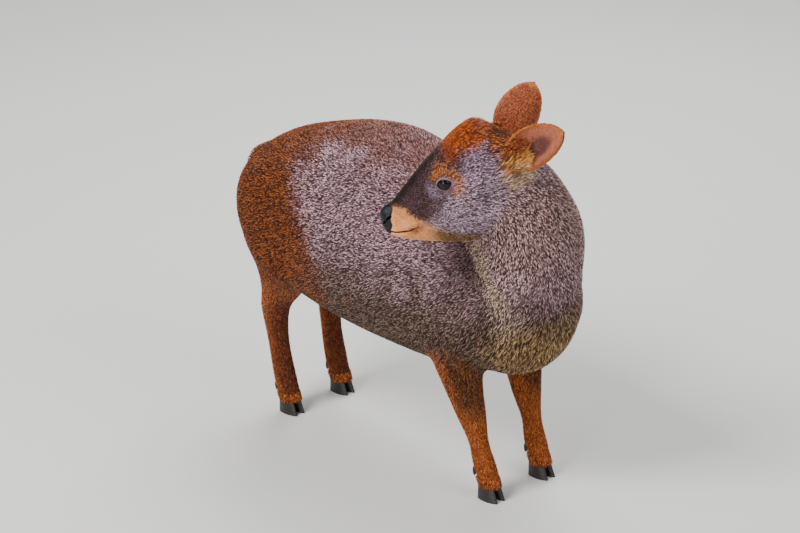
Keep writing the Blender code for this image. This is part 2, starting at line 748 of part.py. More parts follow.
def head_nodes():
    """The head with its lids, mouth, nostrils and crest, and the two ears that grow from it."""
    shells = [head_shell(), neck_shell(first=22), head_ellipsoid(*NOSE_PAD, 1)]
    shells.append(tube_shell(round_the_muzzle(LOWER_LIP), LIP_RADIUS))
    shells.append(tube_shell(round_the_muzzle(UPPER_LIP), 0.8 * LIP_RADIUS))
    for mirror in (1, -1):
        shells += [head_ellipsoid(centre, half, mirror) for centre, half in HEAD_FORMS]
    head = fused(joined("head", shells), HEAD_VOXEL)
    smoothed(head, lambda points: np.full(len(points), HEAD_WEIGHT), HEAD_ROUNDS)
    thinned(head, HEAD_TRIANGLES)
    raised = crest_locks(head)
    cuts = [plate(*HEAD_PARTING), new_object("mouth", *tube_shell(round_the_muzzle(), MOUTH_RADIUS, 5))]
    places = {"head": on_head([0.092, 0.0, -0.010])}
    for side, mirror in (("left", 1), ("right", -1)):
        raised.append(new_object("lid", *lid_shell(mirror)))
        raised.append(new_object("ear", *ear_shell(side)))
        socket = head_ellipsoid(EYE_PLACE, [EYE_RADIUS + GAP] * 3, mirror, 16, 10)
        cuts.append(new_object("socket", *socket))
        cuts.append(new_object("opening", *opening_shell(mirror)))
        cuts.append(new_object("nostril", *head_ellipsoid(*NOSTRIL, mirror, 8, 6)))
        cuts.append(new_object("gland", *head_ellipsoid(*GLAND, mirror, 8, 6)))
        root, tip, opening, wide = ear_frame(side)
        out, radius = EAR_PARTING
        cuts.append(plate(root + tip * out, tip, wide, (radius, radius)))
        places["ear_" + side] = root + tip * EAR_LENGTH / 2
    boolean(head, "UNION", raised)
    return parted(boolean(head, "DIFFERENCE", cuts), places)


def eye_nodes():
    """The two eyeballs."""
    nodes = {}
    for side, mirror in (("left", 1), ("right", -1)):
        ball = head_ellipsoid(EYE_PLACE, [EYE_RADIUS] * 3, mirror, 16, 10)
        nodes["eye_" + side] = new_object("eye_" + side, *ball)
    return nodes


def hoof_nodes():
    """Eight claws, two under each leg, with flat soles at floor level."""
    nodes = {}
    for side, mirror in (("left", 1), ("right", -1)):
        for leg, table in (("front", FORELEG), ("hind", HINDLEG)):
            x, out = table[-2][:2]
            for claw, beside in (("outer", 1), ("inner", -1)):
                name = f"hoof_{leg}_{side}_{claw}"
                nodes[name] = new_object(name, *claw_shell(x, mirror * out, mirror * beside))
    return nodes


def finish(name, obj):
    """Gives a node its material and smooth shading."""
    kind = name.split("_")[0]
    kind = kind if kind in COLOURS else "coat"
    colour, roughness = COLOURS[kind]
    material = bpy.data.materials.get(kind) or bpy.data.materials.new(kind)
    material.use_nodes = True
    shader = material.node_tree.nodes["Principled BSDF"]
    shader.inputs["Base Color"].default_value = (*colour, 1.0)
    shader.inputs["Roughness"].default_value = roughness
    shader.inputs["Metallic"].default_value = 0.0
    obj.data.materials.append(material)
    obj.data.shade_smooth()
    obj.data.set_sharp_from_angle(angle=math.radians(50))


def stand(nodes):
    """Hangs every node from one empty, with the floor's middle under the whole animal as its origin."""
    points = np.vstack([points_of(obj) for obj in nodes.values()])
    middle = (points.min(0) + points.max(0)) / 2
    root = bpy.data.objects.new("pudu", None)
    bpy.context.scene.collection.objects.link(root)
    root.location = (-middle[0], -middle[1], 0.0)
    for obj in nodes.values():
        own = points_of(obj)
        centre = Vector((own.min(0) + own.max(0)) / 2)
        obj.data.transform(Matrix.Translation(-centre))
        obj.location = centre
        obj.parent = root


def main():
    """Builds every node of the animal."""
    for obj in list(bpy.data.objects):
        bpy.data.objects.remove(obj)
    nodes = {**body_nodes(), **head_nodes(), **eye_nodes(), **hoof_nodes()}
    for name, obj in nodes.items():
        finish(name, obj)
    stand(nodes)


main()
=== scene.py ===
"""Looks for the southern pudu doe: one skin under a coat of solid tufts, with ears, eyes, lids and claws.

Metres, +Z up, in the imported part's frame. Shapes are worked out in the part's own tables, with the
trunk along X, and moved at the end by the same shift that stands the part over its origin.
"""

import math

import bmesh
import bpy
import numpy as np
from mathutils import Matrix, Vector


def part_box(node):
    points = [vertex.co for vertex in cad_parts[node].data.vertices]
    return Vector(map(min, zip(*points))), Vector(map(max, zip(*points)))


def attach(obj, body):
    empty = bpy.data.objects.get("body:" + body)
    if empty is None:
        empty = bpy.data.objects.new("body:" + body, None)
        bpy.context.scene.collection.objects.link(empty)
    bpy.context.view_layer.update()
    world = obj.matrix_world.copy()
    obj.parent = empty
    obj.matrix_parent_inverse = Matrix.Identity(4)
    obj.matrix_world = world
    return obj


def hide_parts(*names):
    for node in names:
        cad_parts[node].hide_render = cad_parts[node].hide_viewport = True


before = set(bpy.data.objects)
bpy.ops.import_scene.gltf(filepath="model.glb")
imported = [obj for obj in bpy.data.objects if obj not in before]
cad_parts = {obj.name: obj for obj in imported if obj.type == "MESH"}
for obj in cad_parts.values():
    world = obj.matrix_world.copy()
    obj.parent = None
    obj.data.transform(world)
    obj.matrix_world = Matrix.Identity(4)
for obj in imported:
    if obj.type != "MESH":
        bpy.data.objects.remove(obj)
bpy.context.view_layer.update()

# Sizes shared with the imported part
BACK_HEIGHT = 0.408
TRUNK_LENGTH = 0.532
TRUNK_WIDTH = 0.226
TRUNK_REAR = -0.290
HEAD_LENGTH = 0.180
EAR_LENGTH = 0.0722
EAR_THICKNESS = 0.0028
EYE_RADIUS = 0.0098

# Where the head is held: the nose tip, then how far the head is turned, pitched and rolled
NOSE_TIP = np.array([0.103, -0.172, 0.3790])
HEAD_YAW = math.radians(-134.2)
HEAD_PITCH = math.radians(25.4)
HEAD_ROLL = math.radians(9.0)

# Trunk stations: share of the length from the rump, back line, belly line, half width, narrower above
TRUNK = np.array([
    [0.00, 0.850, 0.560, 0.360, 0.02],
    [0.12, 0.898, 0.480, 0.430, 0.02],
    [0.22, 0.942, 0.425, 0.465, 0.03],
    [0.34, 0.985, 0.385, 0.490, 0.04],
    [0.46, 1.000, 0.368, 0.500, 0.05],
    [0.58, 0.962, 0.364, 0.495, 0.07],
    [0.72, 0.918, 0.366, 0.475, 0.10],
    [0.86, 0.895, 0.374, 0.440, 0.14],
    [1.00, 0.810, 0.410, 0.390, 0.10],
])
TRUNK_CAPS = (0.16, 0.26)
TRUNK_SQUARE = 2.15
BRISKET = np.array([[0.158, 0.000, 0.240], [0.076, 0.080, 0.086]])

# Neck stations: centre, half width across, half depth from nape to throat, and the way the nape faces
NECK = np.array([
    [0.120, 0.000, 0.240, 0.082, 0.100, -0.80, 0.00, 0.60],
    [0.162, -0.004, 0.282, 0.076, 0.092, -0.75, 0.20, 0.60],
    [0.192, -0.016, 0.325, 0.064, 0.073, -0.20, 0.65, 0.45],
    [0.204, -0.037, 0.372, 0.053, 0.059, 0.35, 0.80, 0.30],
    [0.200, -0.056, 0.406, 0.045, 0.051, 0.45, 0.70, 0.55],
    [0.187, -0.082, 0.422, 0.036, 0.042, 0.40, 0.60, 0.70],
])

# Head stations: share of the length back from the nose, top, bottom, half width, wider above
HEAD = np.array([
    [0.000, 0.020, -0.110, 0.066, 0.00],
    [0.080, 0.062, -0.190, 0.080, 0.00],
    [0.150, 0.085, -0.238, 0.098, 0.02],
    [0.275, 0.154, -0.315, 0.126, 0.06],
    [0.410, 0.225, -0.385, 0.170, 0.12],
    [0.525, 0.269, -0.410, 0.212, 0.17],
    [0.630, 0.318, -0.375, 0.222, 0.14],
    [0.720, 0.345, -0.330, 0.222, 0.10],
    [0.800, 0.338, -0.286, 0.216, 0.08],
    [0.880, 0.275, -0.247, 0.200, 0.04],
    [1.000, 0.165, -0.190, 0.165, 0.00],
])
HEAD_CAPS = (0.075, 0.14)
HEAD_SQUARE = 2.2

# The fold where the throat stands clear of the shoulder, from the jaw down to the brisket
FOLD = np.array([
    [0.138, -0.068, 0.337],
    [0.161, -0.077, 0.315],
    [0.181, -0.082, 0.291],
    [0.192, -0.081, 0.266],
    [0.199, -0.072, 0.234],
    [0.203, -0.060, 0.208],
])
FOLD_DEPTH = 0.0095

# Leg stations from the top down: x, distance from the mid-plane, z, half length fore and aft, half width
FORELEG = np.array([
    [0.130, 0.056, 0.300, 0.050, 0.026],
    [0.138, 0.064, 0.262, 0.062, 0.036],
    [0.128, 0.064, 0.218, 0.050, 0.034],
    [0.118, 0.058, 0.178, 0.036, 0.029],
    [0.122, 0.053, 0.142, 0.0265, 0.0230],
    [0.133, 0.0490, 0.103, 0.0190, 0.0175],
    [0.144, 0.0470, 0.070, 0.0130, 0.0122],
    [0.153, 0.0455, 0.042, 0.0148, 0.0136],
    [0.161, 0.0450, 0.024, 0.0134, 0.0126],
    [0.165, 0.0450, 0.010, 0.0125, 0.0122],
])
HINDLEG = np.array([
    [-0.145, 0.040, 0.340, 0.060, 0.030],
    [-0.166, 0.056, 0.300, 0.076, 0.044],
    [-0.168, 0.064, 0.250, 0.070, 0.045],
    [-0.169, 0.064, 0.212, 0.047, 0.036],
    [-0.190, 0.056, 0.174, 0.031, 0.024],
    [-0.211, 0.049, 0.140, 0.0210, 0.0165],
    [-0.210, 0.046, 0.095, 0.0145, 0.0130],
    [-0.199, 0.045, 0.044, 0.0150, 0.0142],
    [-0.191, 0.045, 0.024, 0.0138, 0.0130],
    [-0.187, 0.045, 0.010, 0.0125, 0.0122],
])

# Tail stations: centre, half width and half depth
TAIL = np.array([
    [-0.258, 0.000, 0.332, 0.014, 0.012],
    [-0.290, 0.000, 0.318, 0.013, 0.009],
    [-0.306, 0.000, 0.297, 0.010, 0.007],
    [-0.312, 0.000, 0.272, 0.005, 0.004],
])

# Claws: length and width of the sole, height to the coronet, and half the cleft between the two
CLAW_LENGTH = 0.031
CLAW_WIDTH = 0.0118
CLAW_HEIGHT = 0.0185
CLEFT = 0.0007
CLAW_AHEAD = 0.004

# How much the top of a claw is shorter and narrower, how far it leans back, and how pointed the toe is
CLAW_SHORTER = 0.24
CLAW_NARROWER = 0.10
CLAW_LEAN = 0.004
CLAW_POINT = 0.55
DEWCLAW = np.array([-0.0105, 0.0056, 0.0325])
DEWCLAW_HALF = [0.0040, 0.0033, 0.0062]

# Places on the head, in its own frame: back from the nose, out from the mid-plane, up
EYE_PLACE = np.array([0.0901, 0.0258, 0.0223])
EYE_FACING = [-0.28, 0.94, 0.16]
EYE_OPENING = (0.0082, 0.0064)
LID_RADIUS = 0.00065
LID_STANDS_OFF = 0.0006
PUPIL_HALF = (0.0036, 0.0026)
EAR_PLACE = np.array([0.1645, 0.0265, 0.0126])
EAR_POSES = {
    "left": ([0.958, 0.214, 0.189], [0.044, 0.687, 0.726]),
    "right": ([0.764, -0.467, 0.446], [-0.026, -0.935, -0.353]),
}
EAR = np.array([
    [0.00, 0.0235, 0.0140],
    [0.15, 0.0300, 0.0185],
    [0.35, 0.0338, 0.0240],
    [0.55, 0.0322, 0.0262],
    [0.75, 0.0286, 0.0268],
    [0.90, 0.0256, 0.0272],
    [1.00, 0.0217, 0.0270],
])
EAR_TIP_ROUND = 0.67
EAR_SET_BACK = 0.6
MOUTH = np.array([
    [0.205, -0.16],
    [0.150, -0.25],
    [0.090, -0.30],
    [0.040, -0.36],
    [0.012, -0.42],
])
LIP_RADIUS = 0.0030
LOWER_LIP = (-0.20, 1.0)
UPPER_LIP = (0.16, 0.8)
GLAND = [0.0745, 0.0285, 0.0165]
GLAND_SLIT = [0.0085, 0.0060, 0.0019]
CROWN = [0.143, 0.0, 0.062]
NOSE_PAD = ([0.0115, 0.0, -0.0035], [0.0118, 0.0128, 0.0150])
HEAD_FORMS = [
    ([0.088, 0.0240, 0.0320], [0.0150, 0.0066, 0.0050]),
    ([0.112, 0.0300, -0.0040], [0.0300, 0.0115, 0.0110]),
    ([0.128, 0.0245, -0.0300], [0.0260, 0.0130, 0.0240]),
    ([0.146, 0.0200, -0.0400], [0.0300, 0.0230, 0.0300]),
]

# The skin's mesh: voxel, triangles kept, and the longest edges on the head, its features and the nose
SKIN_VOXEL = 0.0026
SKIN_TRIANGLES = 80000
HEAD_EDGE = 0.0024
FEATURE_EDGE = 0.0013
NOSE_EDGE = 0.0008

# Tufts, row by row: share of the length, share of the width, and how much of the pale colour it has
SHORT_TUFT = [(0.0, 0.0, 0.0), (0.60, 1.0, 1.0), (1.0, 0.0, 0.45)]
LONG_TUFT = [(0.0, 0.0, 0.0), (0.30, 0.85, 0.3), (0.70, 1.0, 1.0), (1.0, 0.0, 0.7)]
TUFT_THICKNESS = 0.30
TUFT_SUNK = 0.0006
TUFT_PATCH = 0.003
MOST_TRIANGLES = 190000
COAT_ON_FEET = 0.0009
BRISKET_COAT = ([0.185, -0.02, 0.215], [0.10, 0.10, 0.07])

# How far the skin's colour goes from the root's to the tip's, on the body and on the ears
SKIN_PALE = 0.22
EAR_PALE = 0.30

# The sides as signs
MIRROR = {"left": 1, "right": -1}

# The coat's speckle: its grain across the hair, and how much longer it runs along the trunk
GRAIN_SIZE = 0.0022
GRAIN_STRETCH = np.array([0.6, 1.0, 1.0])

# Width of the pebbles in the nose's leather
PEBBLE_SIZE = 0.0012

# The camera of the photo: azimuth and height, distance, the point it looks at, lens and sensor
CAMERA_AZIMUTH = math.radians(45)
CAMERA_ELEVATION = math.radians(22)
CAMERA_DISTANCE = 3.5
CAMERA_TARGET = np.array([-0.09064411, 0.05433641, 0.2])
CAMERA_LENS = 124.83
CAMERA_SENSOR = 36.0

# Colours as a painter would note them, in parts of 255: the coat's at the roots and at the tips
COAT_PAINT = {
    "side": ((64, 37, 37), (252, 208, 220)),
    "back": ((70, 32, 22), (182, 122, 106)),
    "rump": ((46, 17, 8), (184, 98, 42)),
    # The flank and belly paints are darker partly as painted shade on the underside, partly as the coat's own
    # browner colour
    "flank": ((40, 25, 20), (144, 116, 96)),
    "belly": ((44, 31, 19), (120, 100, 72)),
    "neck": ((72, 46, 42), (250, 208, 202)),
    "throat": ((88, 64, 50), (250, 222, 194)),
    "shadow": ((26, 14, 10), (96, 66, 54)),
    "brisket": ((56, 34, 20), (226, 184, 124)),
    "leg": ((104, 42, 12), (222, 128, 56)),
    "leg_dark": ((34, 18, 10), (120, 78, 44)),
    "hind": ((46, 18, 10), (150, 78, 44)),
    "face": ((36, 22, 24), (130, 94, 98)),
    "cheek": ((82, 58, 68), (250, 218, 234)),
    "temple": ((74, 52, 64), (216, 182, 204)),
    "lash": ((104, 74, 80), (200, 160, 164)),
    "amber": ((196, 104, 46), (255, 178, 104)),
    "rust": ((84, 28, 8), (212, 116, 48)),
    "gland": ((92, 70, 84), (206, 176, 200)),
    "bridge": ((20, 13, 12), (78, 56, 50)),
    "forehead": ((110, 40, 4), (216, 106, 24)),
    "crest": ((122, 58, 36), (232, 144, 98)),
    "brow": ((130, 58, 18), (250, 170, 98)),
    "muzzle": ((248, 148, 76), (255, 230, 182)),
    "chin": ((76, 52, 28), (176, 138, 84)),
    "crown": ((40, 26, 28), (112, 76, 72)),
    "ear": ((112, 44, 22), (206, 118, 74)),
    "ear_rim": ((150, 70, 30), (242, 156, 92)),
    "gold": ((150, 84, 26), (250, 190, 102)),
    "cream": ((150, 112, 84), (250, 228, 190)),
    "blush": ((120, 78, 72), (240, 204, 186)),
    # Darker brown round the mouth's corners: partly the coat's colour, partly painted shade in the corners
    "lip": ((104, 52, 26), (196, 122, 80)),
}
PAINT = {
    "lid": (150, 112, 116),
    "lid_rim": (26, 18, 18),
    "gland": (120, 94, 110),
    "ear_cup": (176, 110, 88),
    "ear_dark": (92, 60, 58),
    "nose": (14, 12, 17),
    # Near black in the nostrils: painted shade in their hollows
    "nostril": (5, 4, 5),
    "mouth": (30, 16, 12),
    "horn": (27, 21, 19),
    "horn_pale": (48, 39, 33),
}
for kind, pair in COAT_PAINT.items():
    PAINT[kind + "_root"], PAINT[kind + "_tip"] = pair


def unit(v):
    """Vectors scaled to length one, along the last axis."""
    v = np.asarray(v, float)
    return v / np.maximum(np.linalg.norm(v, axis=-1, keepdims=True), 1e-12)


def paint(name):
    """A named colour as linear light, from its parts of 255."""
    c = np.array(PAINT[name]) / 255
    return np.where(c <= 0.04045, c / 12.92, ((c + 0.055) / 1.055) ** 2.4)


def mix(a, b, share):
    """Rows of a moved towards b by a share for each row."""
    return a + (b - a) * np.asarray(share)[:, None]


def smooth(value, low, high):
    """0 at low, 1 at high, and an S-curve between them."""
    t = np.clip((value - low) / (high - low), 0, 1)
    return t * t * (3 - 2 * t)


def spot(points, centre, half):
    """1 at the centre of an ellipsoid, falling smoothly to 0 at its surface."""
    d = np.linalg.norm((points - np.asarray(centre)) / np.asarray(half), axis=1)
    return smooth(-d, -1.0, -0.35)


def waves(points, size, seed, count=16):
    """A smooth random field of about the given wavelength: sines in random directions, near -1 to 1."""
    draw = np.random.default_rng(seed)
    ways = unit(draw.normal(size=(count, 3))) * 2 * math.pi / size
    ways *= draw.uniform(0.7, 1.4, (count, 1))
    phase = draw.uniform(0, 2 * math.pi, count)
    return np.sin(points @ ways.T + phase).sum(1) / math.sqrt(count)


def eased(rows, count):
    """Rows of numbers read at count even steps from a Catmull-Rom curve that passes through each row."""
    rows = np.asarray(rows, float)
    padded = np.vstack([2 * rows[0] - rows[1], rows, 2 * rows[-1] - rows[-2]])
    t = np.linspace(0, len(rows) - 1 - 1e-9, count)
    i = t.astype(int)
    f = (t - i)[:, None]
    a, b, c, d = padded[i], padded[i + 1], padded[i + 2], padded[i + 3]
    return 0.5 * (2 * b + (c - a) * f + (2 * a - 5 * b + 4 * c - d) * f**2 + (3 * b - a - 3 * c + d) * f**3)


def between(table, shares):
    """Columns of a table read at shares of its first column, by the same curve through the rows."""
    fine = eased(table, 400)
    return np.stack([np.interp(shares, fine[:, 0], fine[:, k]) for k in range(1, table.shape[1])], axis=-1)


def cap_factor(shares, front, rear):
    """Elliptic rounding: 1 in the middle, falling to 0 over the front and rear shares of the length."""
    low = np.clip(shares / front, 0, 1)
    high = np.clip((1 - shares) / rear, 0, 1)
    return np.sqrt(1 - (1 - low) ** 2) * np.sqrt(1 - (1 - high) ** 2)


def ring_faces(stations, sides, closed=False):
    """Quads between the rings of a tube, row by row, and from the last ring to the first if it is closed."""
    i, j = np.meshgrid(np.arange(stations - 1 + closed), np.arange(sides), indexing="ij")
    k = (j + 1) % sides
    low, high = i * sides, (i + 1) % stations * sides
    return np.stack([low + j, low + k, high + k, high + j], -1).reshape(-1, 4)


def halved(quads):
    """Quads cut into triangles."""
    return np.vstack([quads[:, [0, 1, 2]], quads[:, [0, 2, 3]]])


def rings_to_shell(rings):
    """Points and triangles of a closed shell from rings (stations, sides, 3), with a fan at each end."""
    stations, sides = rings.shape[:2]
    points = np.vstack([rings.reshape(-1, 3), rings[0].mean(0), rings[-1].mean(0)])
    quads = ring_faces(stations, sides)
    j = np.arange(sides)
    k = (j + 1) % sides
    last = (stations - 1) * sides
    first_fan = np.stack([np.full(sides, last + sides), k, j], -1)
    last_fan = np.stack([np.full(sides, last + sides + 1), last + j, last + k], -1)
    return points, np.vstack([halved(quads), first_fan, last_fan])


def bent(value, power):
    """A power of a number that keeps its sign."""
    return np.sign(value) * np.abs(value) ** power


def section(sides, square=2.0):
    """Cosines and sines of a superellipse's points, 2 for an ellipse and more for a squarer one."""
    angle = np.arange(sides) * 2 * math.pi / sides
    return bent(np.cos(angle), 2 / square), bent(np.sin(angle), 2 / square)


def end_shares(stations):
    """Shares of a length, evenly spaced round a half circle, that stop just short of both ends."""
    return np.clip((1 - np.cos(np.linspace(0, math.pi, stations))) / 2, 0.0006, 0.9994)


def swept_rings(path, across, up, wide, deep, sides):
    """Ellipses along a path: two directions and two half sizes at each of its points."""
    c, s = section(sides)
    return (path[:, None] + across[:, None] * (wide[:, None] * c)[..., None]
            + up[:, None] * (deep[:, None] * s)[..., None])


def trunk_shell(sides=80, stations=100):
    """The trunk: superellipse sections along X between the back line and the belly line."""
    shares = end_shares(stations)
    back, belly, width, narrower = between(TRUNK, shares).T
    round_off = cap_factor(shares, *TRUNK_CAPS)
    middle = BACK_HEIGHT * (back + belly) / 2
    half_height = BACK_HEIGHT * (back - belly) / 2 * round_off
    half_width = TRUNK_WIDTH * width * round_off
    c, s = section(sides, TRUNK_SQUARE)
    x = np.repeat((TRUNK_REAR + shares * TRUNK_LENGTH)[:, None], sides, 1)
    y = half_width[:, None] * c[None] * (1 - narrower[:, None] * s[None])
    z = middle[:, None] + half_height[:, None] * s[None]
    return rings_to_shell(np.stack([x, y, z], -1))


def neck_shell(sides=64, stations=60):
    """The neck: ellipses square to its bent centre line, turning as the head turns."""
    rows = eased(NECK, stations)
    centre, nape = rows[:, :3], rows[:, 5:8]
    along = unit(np.gradient(centre, axis=0))
    across = unit(np.cross(nape, along))
    up = np.cross(along, across)
    return rings_to_shell(swept_rings(centre, across, up, rows[:, 3], rows[:, 4], sides))


def head_frame():
    """Rotation whose columns point back from the nose, to the doe's left, and up from the head."""
    turn = Matrix.Rotation(HEAD_YAW, 3, "Z") @ Matrix.Rotation(HEAD_PITCH, 3, "Y")
    turn = turn @ Matrix.Rotation(-HEAD_ROLL, 3, "X")
    forward, left, up = (np.array(turn.col[k]) for k in range(3))
    return np.stack([-forward, left, up], axis=1)


HEAD_AXES = head_frame()


def on_head(local):
    """Points given back from the nose, left and up, in the model's frame."""
    return NOSE_TIP + np.asarray(local, float) @ HEAD_AXES.T


def from_head(points):
    """Points of the model in the head's own frame: back from the nose, left, up."""
    return (points - NOSE_TIP) @ HEAD_AXES


def head_shell(sides=96, stations=120):
    """The skull with its flesh: egg-shaped sections from the nose to the back of the head."""
    shares = end_shares(stations)
    top, bottom, width, wider = between(HEAD, shares).T
    round_off = cap_factor(shares, *HEAD_CAPS)
    middle = HEAD_LENGTH * (top + bottom) / 2
    half_height = HEAD_LENGTH * (top - bottom) / 2 * round_off
    c, s = section(sides, HEAD_SQUARE)
    lean = 1 + wider[:, None] * s[None]
    local = np.stack([
        np.repeat((shares * HEAD_LENGTH)[:, None], sides, 1),
        HEAD_LENGTH * (width * round_off)[:, None] * c[None] * lean,
        middle[:, None] + half_height[:, None] * s[None],
    ], -1)
    return rings_to_shell(on_head(local)[:, ::-1])


def leg_shell(table, side, sides=40, stations=80):
    """One leg: level ellipses from its top station down to the pastern."""
    x, out, z, fore, wide = eased(table, stations).T
    c, s = section(sides)
    rings = np.stack([
        x[:, None] + fore[:, None] * c,
        side * out[:, None] + wide[:, None] * s,
        np.repeat(z[:, None], sides, 1),
    ], -1)
    return rings_to_shell(rings[:, ::-1])


def tail_shell(sides=24, stations=24):
    """The short tail that hangs over the rump."""
    x, y, z, wide, deep = eased(TAIL, stations).T
    centre = np.stack([x, y, z], -1)
    along = unit(np.gradient(centre, axis=0))
    across = np.tile([0.0, 1.0, 0.0], (stations, 1))
    up = np.cross(along, across)
    return rings_to_shell(swept_rings(centre, across, up, wide, deep, sides))


def ellipsoid_shell(centre, half, sides=48, stations=32):
    """A closed ellipsoid of level rings."""
    tilt = np.linspace(-0.497, 0.497, stations) * math.pi
    c, s = section(sides)
    rings = np.stack([
        centre[0] + half[0] * np.cos(tilt)[:, None] * c,
        centre[1] + half[1] * np.cos(tilt)[:, None] * s,
        np.repeat((centre[2] + half[2] * np.sin(tilt))[:, None], sides, 1),
    ], -1)
    return rings_to_shell(rings)


def head_ellipsoid(centre, half, mirror, sides=32, stations=24):
    """An ellipsoid along the head's own axes, on its left or, mirrored, on its right."""
    points, faces = ellipsoid_shell([0, 0, 0], half, sides, stations)
    return on_head((points + centre) * [1, mirror, 1]), faces


def head_surface(shares, level):
    """Points on the left of the head, in its frame, at shares of its length and section heights -1 to 1."""
    top, bottom, width, wider = between(HEAD, shares).T
    round_off = cap_factor(shares, *HEAD_CAPS)
    across = (1 - np.abs(level) ** HEAD_SQUARE) ** (1 / HEAD_SQUARE)
    return np.stack([
        shares * HEAD_LENGTH,
        HEAD_LENGTH * width * round_off * across * (1 + wider * level),
        HEAD_LENGTH * ((top + bottom) / 2 + (top - bottom) / 2 * round_off * level),
    ], -1)


def mouth_line(shift=0.0, count=40):
    """The mouth line in the head's frame, from the left corner round the front to the right corner."""
    shares, level = eased(MOUTH, count).T
    left = head_surface(shares, level + shift)
    return np.vstack([left, left[::-1] * [1, -1, 1]])


def tube_shell(path, radius, sides=12):
    """A tube of round sections along a path, tapered to its ends."""
    path = np.asarray(path)
    along = unit(np.gradient(path, axis=0))
    size = radius * np.clip(np.sin(np.linspace(0, math.pi, len(path))) * 3, 0.25, 1)
    across = unit(np.cross(along, path - path.mean(0)))
    up = np.cross(across, along)
    return rings_to_shell(swept_rings(path, across, up, size, size, sides))


def claw_shell(x, y, side, sides=64, stations=36):
    """One claw: pointed sections from the flat sole up to a round coronet, flat on its inner side.

    Its length and width shrink evenly with the height, and its wall is ringed.
    """
    levels = np.linspace(0, 1, stations)
    coronet = 1 - 0.18 * smooth(levels, 0.80, 1.0) ** 2
    ridge = 1 + 0.005 * np.sin(levels * 44) * smooth(levels, 0.05, 0.2)
    length = CLAW_LENGTH * (1.0 - CLAW_SHORTER * levels) * ridge * coronet
    width = CLAW_WIDTH * (1.0 - CLAW_NARROWER * levels) * ridge * coronet
    back = -CLAW_LEAN * levels
    angle = np.arange(sides) * 2 * math.pi / sides
    c, s = np.cos(angle), np.sin(angle)
    taper = 1 - CLAW_POINT * np.clip(c, 0, 1) ** 1.6
    outwards = 1 + bent(s, 0.8) * taper
    rings = np.stack([
        x + CLAW_AHEAD + back[:, None] + length[:, None] / 2 * bent(c, 0.85),
        y + side * (CLEFT + width[:, None] / 2 * outwards),
        np.repeat((levels * CLAW_HEIGHT)[:, None], sides, 1),
    ], -1)
    return rings_to_shell(rings)


def dewclaw_shell(place):
    """One dewclaw: an ellipsoid narrowed towards its foot and leaning back as it goes down."""
    points, faces = ellipsoid_shell(place, DEWCLAW_HALF, 24, 16)
    arm = points - place
    down = 0.5 - 0.5 * arm[:, 2] / DEWCLAW_HALF[2]
    arm[:, :2] *= (1 - 0.35 * down)[:, None]
    arm[:, 0] -= 0.0016 * (down - 0.5)
    arm[:, 2] *= 1.15
    return place + arm, faces


def shift_of_the_part():
    """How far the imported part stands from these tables: from one claw's own corner."""
    x, out = FORELEG[-2][:2]
    own = claw_shell(x, out, 1, 16, 4)[0]
    low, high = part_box("hoof_front_left_outer")
    return np.array([
        high[0] - own[:, 0].max(),
        (low[1] + high[1]) / 2 - (own[:, 1].min() + own[:, 1].max()) / 2,
        0.0,
    ])


SHIFT = shift_of_the_part()


def new_mesh(name, points, triangles):
    """A mesh from arrays of points and triangles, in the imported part's frame."""
    mesh = bpy.data.meshes.new(name)
    mesh.vertices.add(len(points))
    mesh.vertices.foreach_set("co", (points + SHIFT).astype(np.float32).ravel())
    mesh.loops.add(3 * len(triangles))
    mesh.loops.foreach_set("vertex_index", np.asarray(triangles, np.int32).ravel())
    mesh.polygons.add(len(triangles))
    mesh.polygons.foreach_set("loop_start", np.arange(0, 3 * len(triangles), 3, dtype=np.int32))
    mesh.update(calc_edges=True)
    mesh.shade_smooth()
    return mesh


def in_scene(name, data):
    """A new object of the scene that holds some data."""
    made = bpy.data.objects.new(name, data)
    bpy.context.scene.collection.objects.link(made)
    return made


def new_piece(name, points, triangles, material, slot, replaced=()):
    """A shown piece of the model that rides on the part, with its material; its slot is not used."""
    return placed(in_scene(name, new_mesh(name, points, triangles)), material, replaced)


def placed(piece, material, replaced=()):
    """Gives a piece its material, body and the nodes that it stands for."""
    piece.data.materials.append(material)
    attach(piece, "root")
    if replaced:
        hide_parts(*replaced)
    return piece


def put_colour(mesh, colours):
    """Writes linear colours as the point attribute coat_colour."""
    rows = np.hstack([colours, np.ones((len(colours), 1))]).astype(np.float32)
    mesh.attributes.new("coat_colour", "FLOAT_COLOR", "POINT").data.foreach_set("color", rows.ravel())


def put_value(mesh, name, values):
    """Writes one number a point as a named attribute."""
    mesh.attributes.new(name, "FLOAT", "POINT").data.foreach_set("value", values.astype(np.float32))


def put_map(mesh, uv):
    """Writes a place a point as the UV map OFBake."""
    corners = np.empty(len(mesh.loops), np.int32)
    mesh.loops.foreach_get("vertex_index", corners)
    mesh.uv_layers.new(name="OFBake").data.foreach_set("uv", uv[corners].astype(np.float32).ravel())


def gather(shells):
    """Several shells as one list of points and one of triangles."""
    starts = np.cumsum([0] + [len(p) for p, _ in shells])
    return np.vstack([p for p, _ in shells]), np.vstack([f + s for (_, f), s in zip(shells, starts)])


def settle(obj):
    """Applies an object's modifiers to its mesh."""
    graph = bpy.context.evaluated_depsgraph_get()
    mesh = bpy.data.meshes.new_from_object(obj.evaluated_get(graph))
    obj.modifiers.clear()
    old = obj.data
    obj.data = mesh
    bpy.data.meshes.remove(old)


def read_rows(rows, key, columns, kind=np.float32):
    """One property of every row of a mesh's list, as an array with so many columns."""
    flat = np.empty(len(rows) * columns, kind)
    rows.foreach_get(key, flat)
    return flat.reshape(-1, columns)


def points_of(mesh):
    """A mesh's points as an array, back in the tables' frame."""
    return read_rows(mesh.vertices, "co", 3).astype(float) - SHIFT


def normals_of(mesh):
    """A mesh's normals at its points."""
    return read_rows(mesh.vertex_normals, "vector", 3).astype(float)


def triangles_of(mesh):
    """A mesh's triangles as rows of three point numbers."""
    mesh.calc_loop_triangles()
    return read_rows(mesh.loop_triangles, "vertices", 3, np.int32)


